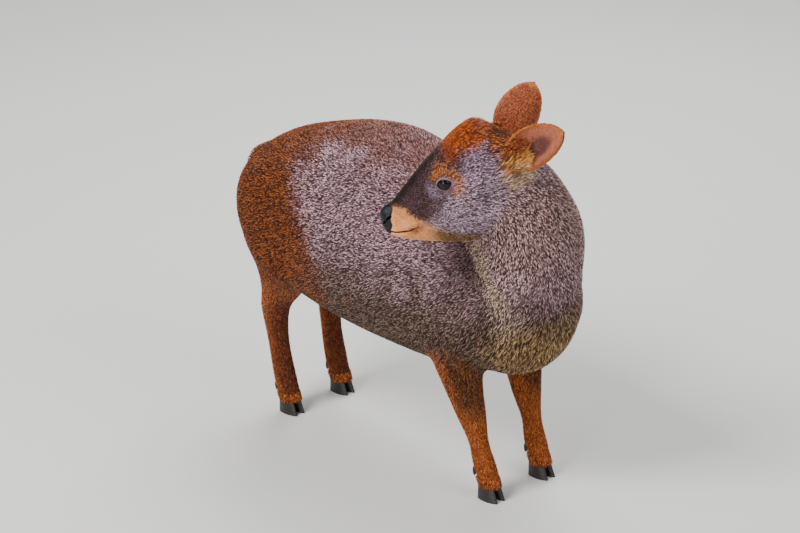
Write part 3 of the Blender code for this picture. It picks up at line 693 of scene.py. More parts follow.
def relax(points, edges, share, rounds):
    """Moves each point towards the mean of its neighbours, by its share, a number of times."""
    a, b = edges.T
    count = np.maximum(np.bincount(np.concatenate([a, b]), minlength=len(points)), 1)
    for _ in range(rounds):
        total = np.stack([
            np.bincount(a, points[b, k], len(points)) + np.bincount(b, points[a, k], len(points))
            for k in range(3)
        ], 1)
        points = points + share[:, None] * (total / count[:, None] - points)
    return points


def edges_of(mesh):
    """A mesh's edges as pairs of point numbers."""
    return read_rows(mesh.edges, "vertices", 2, np.int32)


def set_points(mesh, points):
    """Moves a mesh's points to the given places in the tables' frame."""
    mesh.vertices.foreach_set("co", (points + SHIFT).astype(np.float32).ravel())
    mesh.update()


def longest_edge(points):
    """The longest edge allowed at a place: fine on the nose, eyes and mouth, fair on the head."""
    local = from_head(points)
    mirrored = local * [1, 0, 1] + np.abs(local) * [0, 1, 0]
    eye = np.linalg.norm(mirrored - EYE_PLACE, axis=1)
    on = (local[:, 0] < 0.185) & (np.abs(local[:, 1]) < 0.06) & (local[:, 2] > -0.085) & (local[:, 2] < 0.075)
    size = np.where(on, HEAD_EDGE, 1.0)
    size = np.where(on & ((eye < 0.022) | (local[:, 0] < 0.052)), FEATURE_EDGE, size)
    return np.where(on & ((local[:, 0] < 0.026) | (eye < 0.0135)), NOSE_EDGE, size)


def refine(mesh):
    """Splits the edges that are too long for their place, four times over, into triangles."""
    for _ in range(4):
        points = points_of(mesh)
        edges = edges_of(mesh)
        length = np.linalg.norm(points[edges[:, 0]] - points[edges[:, 1]], axis=1)
        long = np.flatnonzero(length > longest_edge((points[edges[:, 0]] + points[edges[:, 1]]) / 2))
        if not len(long):
            break
        work = bmesh.new()
        work.from_mesh(mesh)
        work.edges.ensure_lookup_table()
        chosen = [work.edges[i] for i in long.tolist()]
        bmesh.ops.subdivide_edges(work, edges=chosen, cuts=1, use_grid_fill=True)
        bmesh.ops.triangulate(work, faces=[f for f in work.faces if len(f.verts) > 3])
        work.to_mesh(mesh)
        work.free()
        points = points_of(mesh)
        near = (longest_edge(points) < 0.5) * 0.30
        set_points(mesh, relax(points, edges_of(mesh), near, 3))


def part_axes():
    """Each part's centre line: its name, sampled centres, radii, and the way its hair lies there."""
    rows = []
    shares = np.linspace(0.04, 0.92, 60)
    back, belly, width, _ = between(TRUNK, shares).T
    centre = np.stack([TRUNK_REAR + shares * TRUNK_LENGTH, 0 * shares, BACK_HEIGHT * (back + belly) / 2], 1)
    radius = (BACK_HEIGHT * (back - belly) / 2 + TRUNK_WIDTH * width) / 2
    rows.append(("trunk", centre, radius, np.tile([-1.0, 0, 0], (60, 1))))
    neck = eased(NECK, 60)[14:]
    rows.append(("neck", neck[:, :3], (neck[:, 3] + neck[:, 4]) / 2, -unit(np.gradient(neck[:, :3], axis=0))))
    shares = np.linspace(0.03, 0.95, 60)
    top, bottom, width, _ = between(HEAD, shares).T
    local = np.stack([shares, 0 * shares, (top + bottom) / 2], 1) * HEAD_LENGTH
    radius = HEAD_LENGTH * ((top - bottom) / 2 + width) / 2
    rows.append(("head", on_head(local), radius, np.tile(HEAD_AXES[:, 0], (60, 1))))
    for name, table, start in (("foreleg", FORELEG, 22), ("hindleg", HINDLEG, 26)):
        for side in (1, -1):
            leg = eased(table, 80)[start:]
            centre = np.stack([leg[:, 0], side * leg[:, 1], leg[:, 2]], 1)
            rows.append((name, centre, (leg[:, 3] + leg[:, 4]) / 2, unit(np.gradient(centre, axis=0))))
    tail = eased(TAIL, 30)[8:]
    rows.append(("tail", tail[:, :3], (tail[:, 3] + tail[:, 4]) / 2, unit(np.gradient(tail[:, :3], axis=0))))
    return rows


AXES = part_axes()
PART_NAMES = [row[0] for row in AXES]


def nearest(points, places, sizes, weigh=(1.0, 1.0, 1.0)):
    """The least distance of each point from some places, over the place's size, and which place it is."""
    best = np.full(len(points), 1e9)
    index = np.zeros(len(points), int)
    for k, (place, size) in enumerate(zip(places, sizes)):
        d = np.linalg.norm((points - place) * weigh, axis=1) / size
        nearer = d < best
        best[nearer] = d[nearer]
        index[nearer] = k
    return best, index


def where(points):
    """For each point its share of belonging to each part, and where along and round the part it is."""
    score, along, around, ways = [], [], [], []
    for name, centre, radius, way in AXES:
        best, index = nearest(points, centre, radius)
        arm = points - centre[index]
        one = way[index]
        side = unit(np.cross(one, [0.02, 0.05, 1.0] if name in ("trunk", "head") else [1.0, 0.05, 0.02]))
        third = np.cross(one, side)
        score.append(best)
        along.append(index / len(centre))
        around.append(np.arctan2((arm * side).sum(1), (arm * third).sum(1)) / (2 * math.pi) + 0.5)
        ways.append(one)
    score = np.stack(score, 1)
    share = np.exp(-9 * (score - score.min(1, keepdims=True)))
    share /= share.sum(1, keepdims=True)
    return share, np.stack(along, 1), np.stack(around, 1), np.stack(ways, 1)


def named_share(share, name):
    """The share of belonging to any part of that name."""
    return sum(share[:, k] for k, part in enumerate(PART_NAMES) if part == name)


def mirrored_head(points):
    """Points in the head's frame with both sides laid on the left."""
    local = from_head(points)
    return np.stack([local[:, 0], np.abs(local[:, 1]), local[:, 2]], 1)


def eye_directions():
    """The way the eye faces, then the ways to its hind corner and to its top, in the head's frame."""
    out = unit(EYE_FACING)
    back = np.array([1.0, 0.0, -0.10])
    back = unit(back - out * (out @ back))
    return out, back, np.cross(back, out)


def eye_plane(local):
    """From the eye's middle: the arm, its parts back, up and out, and the level, 1 at the almond's rim."""
    out, back, up = eye_directions()
    arm = local - EYE_PLACE
    a, b, o = arm @ back, arm @ up, arm @ out
    x = a / EYE_OPENING[0]
    height = EYE_OPENING[1] * (1 - 0.25 * np.clip(x, -1, 1) ** 2)
    return arm, a, b, o, np.sqrt(x**2 + (b / height) ** 2)


def throat_fold(points):
    """Distance past the fold (less than 0 on the throat), the share down it, and nearness to it."""
    line = eased(FOLD, 60)
    run = np.gradient(line, axis=0)
    away = unit(np.cross(unit([0.45, -0.85, 0.0]), unit(run)))
    away = away * -np.sign(away[:, :1])
    best, index = nearest(points, line, np.ones(len(line)))
    past = ((points - line[index]) * away[index]).sum(1)
    near = smooth(-best, -0.075, -0.045) * (points[:, 1] < 0)
    return past, index / (len(line) - 1), near


def fold_shade(points):
    """1 in the hollow beside the throat, fading over the shoulder and down the fold."""
    past, down, near = throat_fold(points)
    return smooth(past, -0.002, 0.005) * np.exp(-np.maximum(past, 0) / 0.032) * near * (1 - down) ** 0.8


def nose_mask(local):
    """1 on the bare nose pad, 0 off it, with a narrow soft edge."""
    x, y, z = local.T
    edge = 0.0165 + 0.0035 * smooth(z, -0.004, 0.010) - 0.0075 * smooth(-z, 0.006, 0.018)
    edge = edge - 0.0045 * smooth(y, 0.0088, 0.0135)
    return smooth(edge - x, -0.0004, 0.0006) * smooth(z, -0.0185, -0.0165) * (np.abs(local).max(1) < 0.05)


def nostril_depth(local):
    """How deep the nostril is: a comma that opens forwards and curls up and back."""
    t = np.linspace(0, 1, 14)
    path = np.stack([0.0046 + 0.0098 * t, 0.0066 + 0.0056 * t, -0.0052 + 0.0078 * t**0.6], 1)
    size = 0.0030 - 0.0017 * t
    d = np.min([np.linalg.norm(local - p, axis=1) / s for p, s in zip(path, size)], axis=0)
    return smooth(-d, -1.15, -0.25)


def mouth_distance(local):
    """Distance from the mouth line in the head's frame, counted less across the head."""
    line = mouth_line()
    return nearest(local, line, np.ones(len(line)), [1.0, 0.35, 1.0])[0]


def coat_depth(points, share):
    """How far the tufts' tips stand off the skin at each place."""
    local = mirrored_head(points)
    depth = 0.0027 * (named_share(share, "trunk") + named_share(share, "neck"))
    depth += 0.0026 * named_share(share, "tail")
    leg = 0.0009 + 0.0014 * smooth(points[:, 2], 0.09, 0.20)
    depth += leg * (named_share(share, "foreleg") + named_share(share, "hindleg"))
    face = 0.0006 + 0.0009 * smooth(local[:, 0], 0.035, 0.10)
    depth += face * named_share(share, "head")
    depth += 0.0016 * spot(points, *BRISKET_COAT)
    return depth


def skin_piece():
    """The one skin: every shell fused by voxels, relaxed, refined on the head, set in by the coat's depth."""
    shells = [trunk_shell(), ellipsoid_shell(*BRISKET), neck_shell(), head_shell(), tail_shell()]
    for side in (1, -1):
        shells += [leg_shell(FORELEG, side), leg_shell(HINDLEG, side)]
        shells += [head_ellipsoid(centre, half, side) for centre, half in HEAD_FORMS]
    shells.append(head_ellipsoid(*NOSE_PAD, 1))
    for height, share in (LOWER_LIP, UPPER_LIP):
        shells.append(tube_shell(on_head(mouth_line(height)), LIP_RADIUS * share))
    skin = in_scene("skin", new_mesh("skin", *gather(shells)))
    remesh = skin.modifiers.new("fuse", "REMESH")
    remesh.mode = "VOXEL"
    remesh.voxel_size = SKIN_VOXEL
    settle(skin)
    points = points_of(skin.data)
    share = where(points)[0]
    soft = 0.55 * np.clip((points[:, 2] - 0.10) / 0.10, 0.06, 1.0)
    head = named_share(share, "head")
    points = relax(points, edges_of(skin.data), soft * (1 - 0.86 * head), 24)
    set_points(skin.data, points)
    skin.data.calc_loop_triangles()
    thin = skin.modifiers.new("thin", "DECIMATE")
    thin.ratio = SKIN_TRIANGLES / len(skin.data.loop_triangles)
    thin.use_collapse_triangulate = True
    settle(skin)
    refine(skin.data)
    points = points_of(skin.data)
    share = where(points)[0]
    normal = normals_of(skin.data)
    hollow = FOLD_DEPTH * fold_shade(points) * smooth(-named_share(share, "head"), -0.6, -0.2)
    points = points - normal * (coat_depth(points, share) + hollow)[:, None]
    points[:, 2] = np.maximum(points[:, 2], CLAW_HEIGHT + 0.0004)
    points = carve_head(points, normal)
    set_points(skin.data, points)
    skin.data.shade_smooth()
    return skin


def carve_head(points, normal):
    """Sinks the mouth, nostrils, philtrum and glands into the head, raises its lips, and wraps the lids."""
    local = from_head(points)
    one_side = mirrored_head(points)
    on = local[:, 0] < 0.06
    push = np.zeros(len(points))
    distance = mouth_distance(local)
    push += np.where(on, 0.0007 * np.exp(-((distance - 0.0032) / 0.0017) ** 2), 0)
    push -= np.where(on, 0.0024 * np.exp(-(distance / 0.0011) ** 2), 0)
    pad = nose_mask(one_side)
    hole = nostril_depth(one_side)
    push += 0.0006 * pad
    push += 0.0007 * pad * np.exp(-((hole - 0.12) / 0.10) ** 2) * (hole > 0.01)
    push -= 0.0052 * pad * hole
    groove = np.exp(-(local[:, 1] / 0.0006) ** 2) * smooth(-local[:, 2], -0.002, 0.006)
    push -= 0.0009 * groove * (local[:, 0] < 0.014) * (distance > 0.0004)
    slit = spot(one_side, GLAND, GLAND_SLIT)
    push -= 0.0014 * slit
    points = points + normal * push[:, None]
    for mirror in (1, -1):
        side = from_head(points) * [1, mirror, 1]
        arm, _, _, o, level = eye_plane(side)
        reach = np.linalg.norm(arm, axis=1)
        near = (reach < 0.022) & (o > 0)
        lid = EYE_RADIUS + 0.0011
        crease = 0.0007 * np.exp(-((level - 1.55) / 0.12) ** 2)
        seen = eye_plane(EYE_PLACE + unit(arm) * (EYE_RADIUS + LID_STANDS_OFF))[4]
        over = lid + (np.maximum(reach, lid) - lid) * smooth(level, 1.0, 2.1) - crease
        wanted = np.where(seen < 0.98, EYE_RADIUS - 0.0022, over)
        blend = np.where(seen < 0.98, 1.0, smooth(-level, -2.6, -1.8))
        moved = EYE_PLACE + unit(arm) * (reach + (wanted - reach) * blend)[:, None]
        points = np.where(near[:, None], on_head(moved * [1, mirror, 1]), points)
    return points


def ear_axes(side):
    """An ear's root and its three directions: to its tip, the way it opens, and across."""
    root = on_head(EAR_PLACE * [1, MIRROR[side], 1])
    tip, opening = (unit(np.array(v) @ HEAD_AXES.T) for v in EAR_POSES[side])
    opening = unit(opening - tip * (opening @ tip))
    return root, tip, opening, np.cross(tip, opening)


def ear_points(side, share, v, inset):
    """Points of an ear's skins: v runs -1 to 1 across the cupped leaf, inset in from its back."""
    root, tip, opening, wide = ear_axes(side)
    half, radius = np.moveaxis(between(EAR, np.clip(share, 0, 1)), -1, 0)
    half = half * np.sqrt(1 - np.clip((share - 1 + EAR_TIP_ROUND) / EAR_TIP_ROUND, 0, 0.9985) ** 2)
    sweep = half / radius
    angle = sweep * v
    floor = radius * (1 - np.cos(np.minimum(sweep, 1.4))) * EAR_SET_BACK
    r = radius - inset
    depth = radius - r * np.cos(angle) - floor
    return (root + tip * (EAR_LENGTH * share)[..., None] + wide * (r * np.sin(angle))[..., None]
            + opening * depth[..., None])


def ear_thickness(share, v):
    """The ear's thickness: least at its rim and tip, with three low ribs inside the cup."""
    body = EAR_THICKNESS * (1.10 - 0.55 * share) * (1 - 0.62 * np.abs(v) ** 5)
    ribs = 0.00045 * np.cos(v * 3.2 * math.pi) * smooth(share, 0.1, 0.3) * smooth(-share, -0.95, -0.6)
    return body + ribs * (1 - np.abs(v) ** 4)


def ear_colours(share, v, inner):
    """Root and tip colours on an ear: rust outside, orange rim, violet-grey in the cup, gold at its front."""
    rim = smooth(np.abs(v), 0.66, 0.97)
    rim = np.maximum(rim, smooth(share, 0.86, 0.99))
    outer_root = mix(paint("ear_root"), paint("ear_rim_root"), rim)
    outer_tip = mix(paint("ear_tip"), paint("ear_rim_tip"), rim)
    dark = smooth(-np.hypot((share - 0.46) / 0.40, (v + 0.05) / 0.55), -1.0, -0.35)
    inner_root = mix(paint("ear_cup"), paint("ear_dark"), dark)
    inner_root = mix(inner_root, paint("ear_rim_root"), rim)
    inner_tip = mix(mix(paint("ear_tip"), paint("ear_dark"), 0.75 * dark), paint("ear_rim_tip"), rim)
    gold = smooth(-share, -0.42, -0.05) * smooth(np.abs(v), 0.35, 0.8)
    inner_root = mix(inner_root, paint("gold_root"), gold)
    inner_tip = mix(inner_tip, paint("gold_tip"), gold)
    pick = np.asarray(inner, float)
    return mix(outer_root, inner_root, pick), mix(outer_tip, inner_tip, pick)


def ear_piece(side, material, along=72, across=56):
    """An ear: two cupped skins a thickness apart, closed round the rim, as rings across the leaf."""
    share, v = np.meshgrid(np.linspace(-0.10, 1, along), np.linspace(-1, 1, across), indexing="ij")
    outer = ear_points(side, share, v, 0 * share)
    inner = ear_points(side, share, v, ear_thickness(share, v))
    rings = np.concatenate([outer, inner[:, ::-1]], axis=1)
    sides = 2 * across
    quads = ring_faces(along, sides)
    last = (along - 1) * sides
    j = np.arange(across - 1)
    k = sides - 1 - j
    caps = np.vstack([
        np.stack([j, k, k - 1, j + 1], -1),
        last + np.stack([j, j + 1, k - 1, k], -1),
    ])
    quads = np.vstack([quads, caps])
    node = "ear_" + side
    piece = new_piece(node + "_skin", rings.reshape(-1, 3), halved(quads), material, "ear_coat", [node])
    turned(piece.data)
    both = np.concatenate([share, share[:, ::-1]], 1).ravel()
    sides_v = np.concatenate([v, v[:, ::-1]], 1).ravel()
    inside = np.concatenate([0 * v, 0 * v + 1], 1).ravel()
    root, tip = ear_colours(both, sides_v, inside)
    put_colour(piece.data, mix(root, tip, 0 * both + EAR_PALE))
    put_value(piece.data, "leather", 0 * both)


def turned(mesh):
    """Turns a closed mesh's faces outwards."""
    work = bmesh.new()
    work.from_mesh(mesh)
    bmesh.ops.recalc_face_normals(work, faces=work.faces)
    work.to_mesh(mesh)
    work.free()


def layers(base, count):
    """The root and tip colours of a base paint at so many places, and how to lay another over them."""
    colours = [np.tile(paint(base + end), (count, 1)) for end in ("_root", "_tip")]

    def lay(pair, mask):
        colours[0] = mix(colours[0], paint(pair + "_root"), mask)
        colours[1] = mix(colours[1], paint(pair + "_tip"), mask)

    return colours, lay


def markings(points, normal, share):
    """Root and tip colours of the coat at each place, from the doe's markings, with painted shade by the
    throat and underneath.
    """
    x, y, z = points.T
    blotch = waves(points, 0.05, 3)
    fine = waves(points, 0.016, 4)
    colours, lay = layers("side", len(points))
    # Lower flanks darker and browner: partly the coat's colour, partly painted shade low on the body
    lay("flank", smooth(-z + 0.008 * blotch, -0.32, -0.225) * 0.95)
    lay("back", smooth(normal[:, 2] + 0.12 * blotch, 0.60, 0.98) * 0.75)
    rear = -x - 0.075 - 0.062 * smooth(z, 0.24, 0.40) + 0.016 * blotch + 0.010 * fine
    lay("rump", smooth(rear, -0.045, 0.035))
    lay("rump", smooth(normal[:, 2], 0.80, 1.0) * smooth(-x, -0.02, 0.12) * 0.6)
    thighs = [spot(points, [-0.282, out, 0.27], [0.040, 0.075, 0.085]) for out in (0.07, -0.07)]
    lay("hind", np.maximum(*thighs) * 0.7)
    # Coat facing down low on the body is darker: partly the coat's colour, partly painted shade underneath
    lay("belly", smooth(-normal[:, 2], 0.45, 0.85) * smooth(-z, -0.26, -0.20))
    lay("neck", named_share(share, "neck"))
    past, down, near = throat_fold(points)
    stripe = np.exp(-((past + 0.013 + 0.004 * blotch) / 0.014) ** 2) * near
    lay("throat", stripe * smooth(-down, -1.2, -0.5) * 0.9)
    lay("shadow", fold_shade(points) * 0.85)
    lay("brisket", spot(points, [0.205, -0.01, 0.205], [0.085, 0.095, 0.070]) * 0.9)
    fore = named_share(share, "foreleg")
    hind = named_share(share, "hindleg")
    lay("leg", smooth(fore + hind, 0.35, 0.8) * smooth(-z, -0.215, -0.165))
    front = smooth(normal[:, 0] + 0.35 * np.sign(y) * normal[:, 1] + 0.25 * fine, 0.15, 0.75)
    lay("leg_dark", fore * front * smooth(z, 0.085, 0.135) * 0.9)
    lay("hind", hind * smooth(-z, -0.20, -0.14) * smooth(normal[:, 0] + 0.2 * fine, -0.4, 0.5) * 0.85)
    lay("hind", named_share(share, "tail") * 0.8)
    head_root, head_tip = head_markings(points)
    head = smooth(named_share(share, "head") + 0.1 * fine, 0.25, 0.75)
    return mix(colours[0], head_root, head), mix(colours[1], head_tip, head)


def head_markings(points):
    """Root and tip colours on the head, laid one over another in its own frame."""
    local = mirrored_head(points)
    x, y, z = local.T
    fine = waves(points, 0.010, 9)
    wide = waves(points, 0.030, 10)
    colours, lay = layers("cheek", len(points))
    lay("temple", smooth(z + 0.004 * wide, 0.010, 0.028) * smooth(x, 0.095, 0.115))
    lay("face", smooth(0.067 + 1.1 * z - x + 0.006 * wide, -0.014, 0.010))
    lay("face", smooth(-x + 0.004 * wide, -0.098, -0.076) * smooth(z, 0.020, 0.034))
    line = z + 0.36 * (x - 0.137) + 0.0065 + 0.0016 * fine
    streak = sum(np.exp(-((line + at) / 0.0012) ** 2) for at in (-0.0060, 0.0, 0.0085, 0.0155))
    lay("face", np.clip(streak, 0, 1) * smooth(x, 0.104, 0.120) * 0.7)
    a, b, o = eye_plane(local)[1:4]
    around = np.hypot(a, b)
    turn = np.arctan2(b, a)
    before = spot(np.stack([a, b, 0 * a], 1), [-0.0165, -0.0050, 0], [0.0130, 0.0150, 1])
    lay("gland", before * (o > -0.02) * 0.85)
    inner = 0.0085 + 0.0035 * smooth(-turn, -1.0, 0.5)
    ring = smooth(around + 0.0014 * fine, inner, inner + 0.0030)
    ring = ring * smooth(-around + 0.0016 * fine, -0.0215, -0.0165)
    lay("brow", ring * smooth(turn, -1.45, -1.0) * smooth(-turn, -2.85, -2.35) * (o > -0.018))
    lay("lash", smooth(-around, -0.0135, -0.0085) * smooth(-b - 0.4 * a, -0.004, 0.004) * (o > -0.01))
    edge = smooth(x - 0.0945 + 0.004 * fine, -0.004, 0.010)
    lay("forehead", edge * smooth(z - 0.0445 - 0.08 * (x - 0.10) + 0.0022 * fine, -0.004, 0.004))
    lay("crest", smooth(x - 0.25 * y, 0.132, 0.146) * smooth(z, 0.050, 0.057))
    muzzle = smooth(0.0105 - 1.40 * (x - 0.0258) - z + 0.0032 * fine, -0.0060, 0.0048)
    lay("muzzle", muzzle * smooth(-x + 0.004 * fine, -0.078, -0.050))
    lay("amber", muzzle * smooth(z, -0.014, 0.004) * 0.55)
    bridge = smooth(-y + 0.0008 * fine, -0.0105, -0.0055)
    lay("bridge", bridge * smooth(z, -0.002, 0.008) * smooth(-x, -0.104, -0.088))
    lay("chin", smooth(-z - 0.62 * x + 0.003 * fine, -0.008, 0.006) * smooth(x, 0.038, 0.058) * 0.95)
    # Darker brown round the mouth's corners: partly the coat's colour, partly painted shade in the corners
    beside_mouth = mouth_distance(from_head(points))
    lay("lip", smooth(-beside_mouth + 0.0012 * fine, -0.0080, -0.0015) * smooth(x, 0.016, 0.032) * 0.85)
    before_ear = smooth(x + 0.002 * fine, 0.143, 0.153)
    lay("rust", before_ear * smooth(z + 0.002 * fine, 0.012, 0.022))
    lay("gold", before_ear * smooth(z, -0.006, 0.004) * smooth(-z, -0.024, -0.014) * smooth(y, 0.010, 0.022))
    lay("cream", before_ear * smooth(z, -0.024, -0.016) * smooth(-z, -0.008, 0.002) * smooth(y, 0.010, 0.022))
    lay("crown", spot(points, on_head([0.169, -0.002, 0.045]), [0.017, 0.020, 0.018]) * 0.9)
    blush = smooth(-from_head(points)[:, 1], 0.014, 0.026)
    lay("blush", blush * smooth(x, 0.166, 0.178) * smooth(z, 0.000, 0.012))
    return colours


def near_ear(points):
    """1 at an ear's root and 0 a few centimetres off it."""
    best = np.full(len(points), 1e9)
    for side in ("left", "right"):
        root, tip = ear_axes(side)[:2]
        best = np.minimum(best, np.linalg.norm(points - root - tip * 0.008, axis=1))
    return smooth(-best, -0.040, -0.016)


def bare(points):
    """1 where no hair grows: the nose pad, the lids' rims, the mouth line and the glands."""
    local = mirrored_head(points)
    distance = mouth_distance(from_head(points))
    level = eye_plane(local)[4]
    near_eye = np.linalg.norm(local - EYE_PLACE, axis=1) < 0.018
    level = np.minimum(level, eye_plane(local + [0.0022, 0, 0])[4])
    mouth = (distance < 0.0023) & (local[:, 0] < 0.044)
    gland = spot(local, GLAND, GLAND_SLIT) > 0.3
    return (nose_mask(local) > 0.2) | (near_eye & (level < 1.18)) | mouth | gland


def lie_of_coat(points, normal, share, ways):
    """The way the hair lies: along each part, downwards on the flanks, with slow random swirls."""
    x = points[:, 0]
    lie = (share[..., None] * ways).sum(1)
    trunk = named_share(share, "trunk")
    side = np.sqrt(np.clip(1 - normal[:, 2] ** 2, 0, 1))
    down = 0.42 + 0.75 * smooth(-x, 0.16, 0.27) + 0.8 * smooth(x, 0.08, 0.18)
    lie[:, 2] -= trunk * side * down
    head = named_share(share, "head")
    local = from_head(points)
    fan = np.sign(local[:, 1]) * smooth(np.abs(local[:, 1]), 0.004, 0.03)
    droop = 0.28 * smooth(-local[:, 2], -0.01, 0.03)
    spread = HEAD_AXES[:, 1] * fan[:, None] * 0.45 - HEAD_AXES[:, 2] * droop[:, None]
    lie += spread * head[:, None]
    ear = near_ear(points)
    for side_name in ("left", "right"):
        root, tip = ear_axes(side_name)[:2]
        near = smooth(-np.linalg.norm(points - root, axis=1), -0.034, -0.014) * ear
        lie = lie * (1 - near[:, None]) + tip * near[:, None]
    lie = lie - normal * (lie * normal).sum(1)[:, None]
    lie = unit(lie)
    turn = 0.20 * waves(points, 0.06, 21) + 0.10 * waves(points, 0.022, 22)
    across = np.cross(normal, lie)
    return unit(lie * np.cos(turn)[:, None] + across * np.sin(turn)[:, None])


def hair_sizes(points, share):
    """Length, width and height of the tip off the skin, for the tufts at each place."""
    local = mirrored_head(points)
    z = points[:, 2]
    trunk = named_share(share, "trunk") + named_share(share, "tail")
    neck = named_share(share, "neck")
    head = named_share(share, "head")
    leg = named_share(share, "foreleg") + named_share(share, "hindleg")
    length = 0.0054 * trunk + 0.0054 * neck + leg * (0.0042 + 0.0032 * smooth(z, 0.08, 0.20))
    width = 0.00105 * trunk + 0.00095 * neck + leg * (0.0008 + 0.0003 * smooth(z, 0.08, 0.20))
    face = smooth(local[:, 0], 0.02, 0.12)
    length += head * (0.0027 + 0.0036 * face)
    width += head * (0.00062 + 0.00034 * face)
    height = coat_depth(points, share) + 0.0004 * head
    brisket = spot(points, *BRISKET_COAT)
    length += 0.006 * brisket + 0.004 * named_share(share, "tail")
    crown = spot(local, CROWN, [0.032, 0.026, 0.022])
    length += 0.007 * crown
    height += 0.0020 * crown
    length *= 1 - 0.5 * smooth(-np.linalg.norm(local - EYE_PLACE, axis=1), -0.021, -0.012)
    ear = near_ear(points) * head
    length += 0.0090 * ear
    height += 0.0034 * ear
    return length, width, height


def scatter(points, normal, triangles, spacing, seed, grow=3.0):
    """Random places on triangles, thinned to one in each cell of the spacing: place, normal."""
    draw = np.random.default_rng(seed)
    a, b, c = (points[triangles[:, k]] for k in range(3))
    area = np.linalg.norm(np.cross(b - a, c - a), axis=1) / 2
    count = int(area.sum() / spacing**2 * grow)
    chosen = np.searchsorted(np.cumsum(area), draw.uniform(0, area.sum(), count))
    chosen = np.minimum(chosen, len(triangles) - 1)
    u, v = draw.uniform(size=(2, count))
    flip = u + v > 1
    u[flip], v[flip] = 1 - u[flip], 1 - v[flip]
    w = 1 - u - v
    corners = triangles[chosen]
    weights = np.stack([w, u, v], 1)[..., None]
    place = (points[corners] * weights).sum(1)
    facing = unit((normal[corners] * weights).sum(1))
    cell = np.floor(place / spacing).astype(np.int64)
    key = (cell[:, 0] * 73856093) ^ (cell[:, 1] * 19349663) ^ (cell[:, 2] * 83492791)
    kept = np.sort(np.unique(key, return_index=True)[1])
    return place[kept], facing[kept]


def tuft_mesh(root, out, lie, length, width, height, low, high, uv, bend, kind):
    """Solid tufts of three-sided section, pointed at both ends: their points, triangles, colours and map.

    The middle of each runs at share t of its length, and stands height * (1 - (1 - t)^2) off the skin.
    """
    n = len(root)
    across = unit(np.cross(lie, out))
    rows, tints, patch = [], [], []
    for t, wide, pale in kind:
        rise = height * (1 - (1 - t) ** 2) - TUFT_SUNK * (t == 0)
        middle = root + lie * (length * (t - 0.08))[:, None] + out * rise[:, None]
        middle += across * (bend * length * t**2)[:, None]
        tint = mix(low, high, np.full(n, pale))
        if wide == 0:
            rows.append(middle[:, None])
            tints.append(tint[:, None])
            patch.append(np.tile([[0.0, t - 0.5]], (n, 1, 1)))
            continue
        half = (width * wide / 2)[:, None]
        thick = (width * wide * TUFT_THICKNESS)[:, None]
        rows.append(np.stack([middle - across * half, middle + across * half, middle + out * thick], 1))
        tints.append(np.repeat(tint[:, None], 3, 1))
        patch.append(np.tile([[-0.5, t - 0.5], [0.5, t - 0.5], [0.0, t - 0.5]], (n, 1, 1)))
    points = np.concatenate(rows, 1)
    size = points.shape[1]
    last = size - 1
    faces = []
    for j in range(3):
        k = (j + 1) % 3
        faces += [[1 + j, 1 + k, 0], [last - 3 + k, last - 3 + j, last]]
        for low_ring in range(1, last - 3, 3):
            high_ring = low_ring + 3
            faces += [
                [low_ring + j, high_ring + k, low_ring + k],
                [low_ring + j, high_ring + j, high_ring + k],
            ]
    triangles = (np.arange(n) * size)[:, None, None] + np.array(faces)[None]
    places = uv[:, None] + np.concatenate(patch, 1) * TUFT_PATCH
    tints = np.concatenate(tints, 1).reshape(-1, 3)
    return points.reshape(-1, 3), triangles.reshape(-1, 3), tints, places.reshape(-1, 2)


def coat_pieces(name, material, slot, root, out, lie, length, width, height, colours, uv, seed, kind):
    """One kind of tuft as pieces of under 200,000 triangles, with random lengths, bends and tips."""
    draw = np.random.default_rng(seed)
    n = len(root)
    most = MOST_TRIANGLES // (6 * (len(kind) - 2))
    length = length * draw.uniform(0.75, 1.25, n)
    height = height * draw.uniform(0.7, 1.15, n)
    turn = draw.normal(0, 0.17, n)
    across = np.cross(out, lie)
    lie = unit(lie * np.cos(turn)[:, None] + across * np.sin(turn)[:, None])
    bend = draw.normal(0, 0.12, n)
    grain = 0.4 * waves(root * GRAIN_STRETCH, GRAIN_SIZE, seed, 24) + 0.8 * draw.normal(size=n)
    pale = smooth(grain, -0.8, 1.4)
    shade = (0.80 + 0.36 * pale + draw.normal(0, 0.07, n))[:, None]
    low = np.clip(colours[0] * shade, 0, 1)
    high = np.clip(mix(low * 1.2, colours[1], pale), 0, 1)
    order = np.argsort(uv[:, 0], kind="stable")
    columns = (root, out, lie, length, width, height, low, high, uv, bend)
    for k, start in enumerate(range(0, n, most)):
        pick = order[start:start + most]
        points, triangles, tints, places = tuft_mesh(*(column[pick] for column in columns), kind)
        piece = new_piece(f"{name}_{k + 1}", points, triangles, material, slot)
        put_colour(piece.data, tints)
        put_map(piece.data, places)


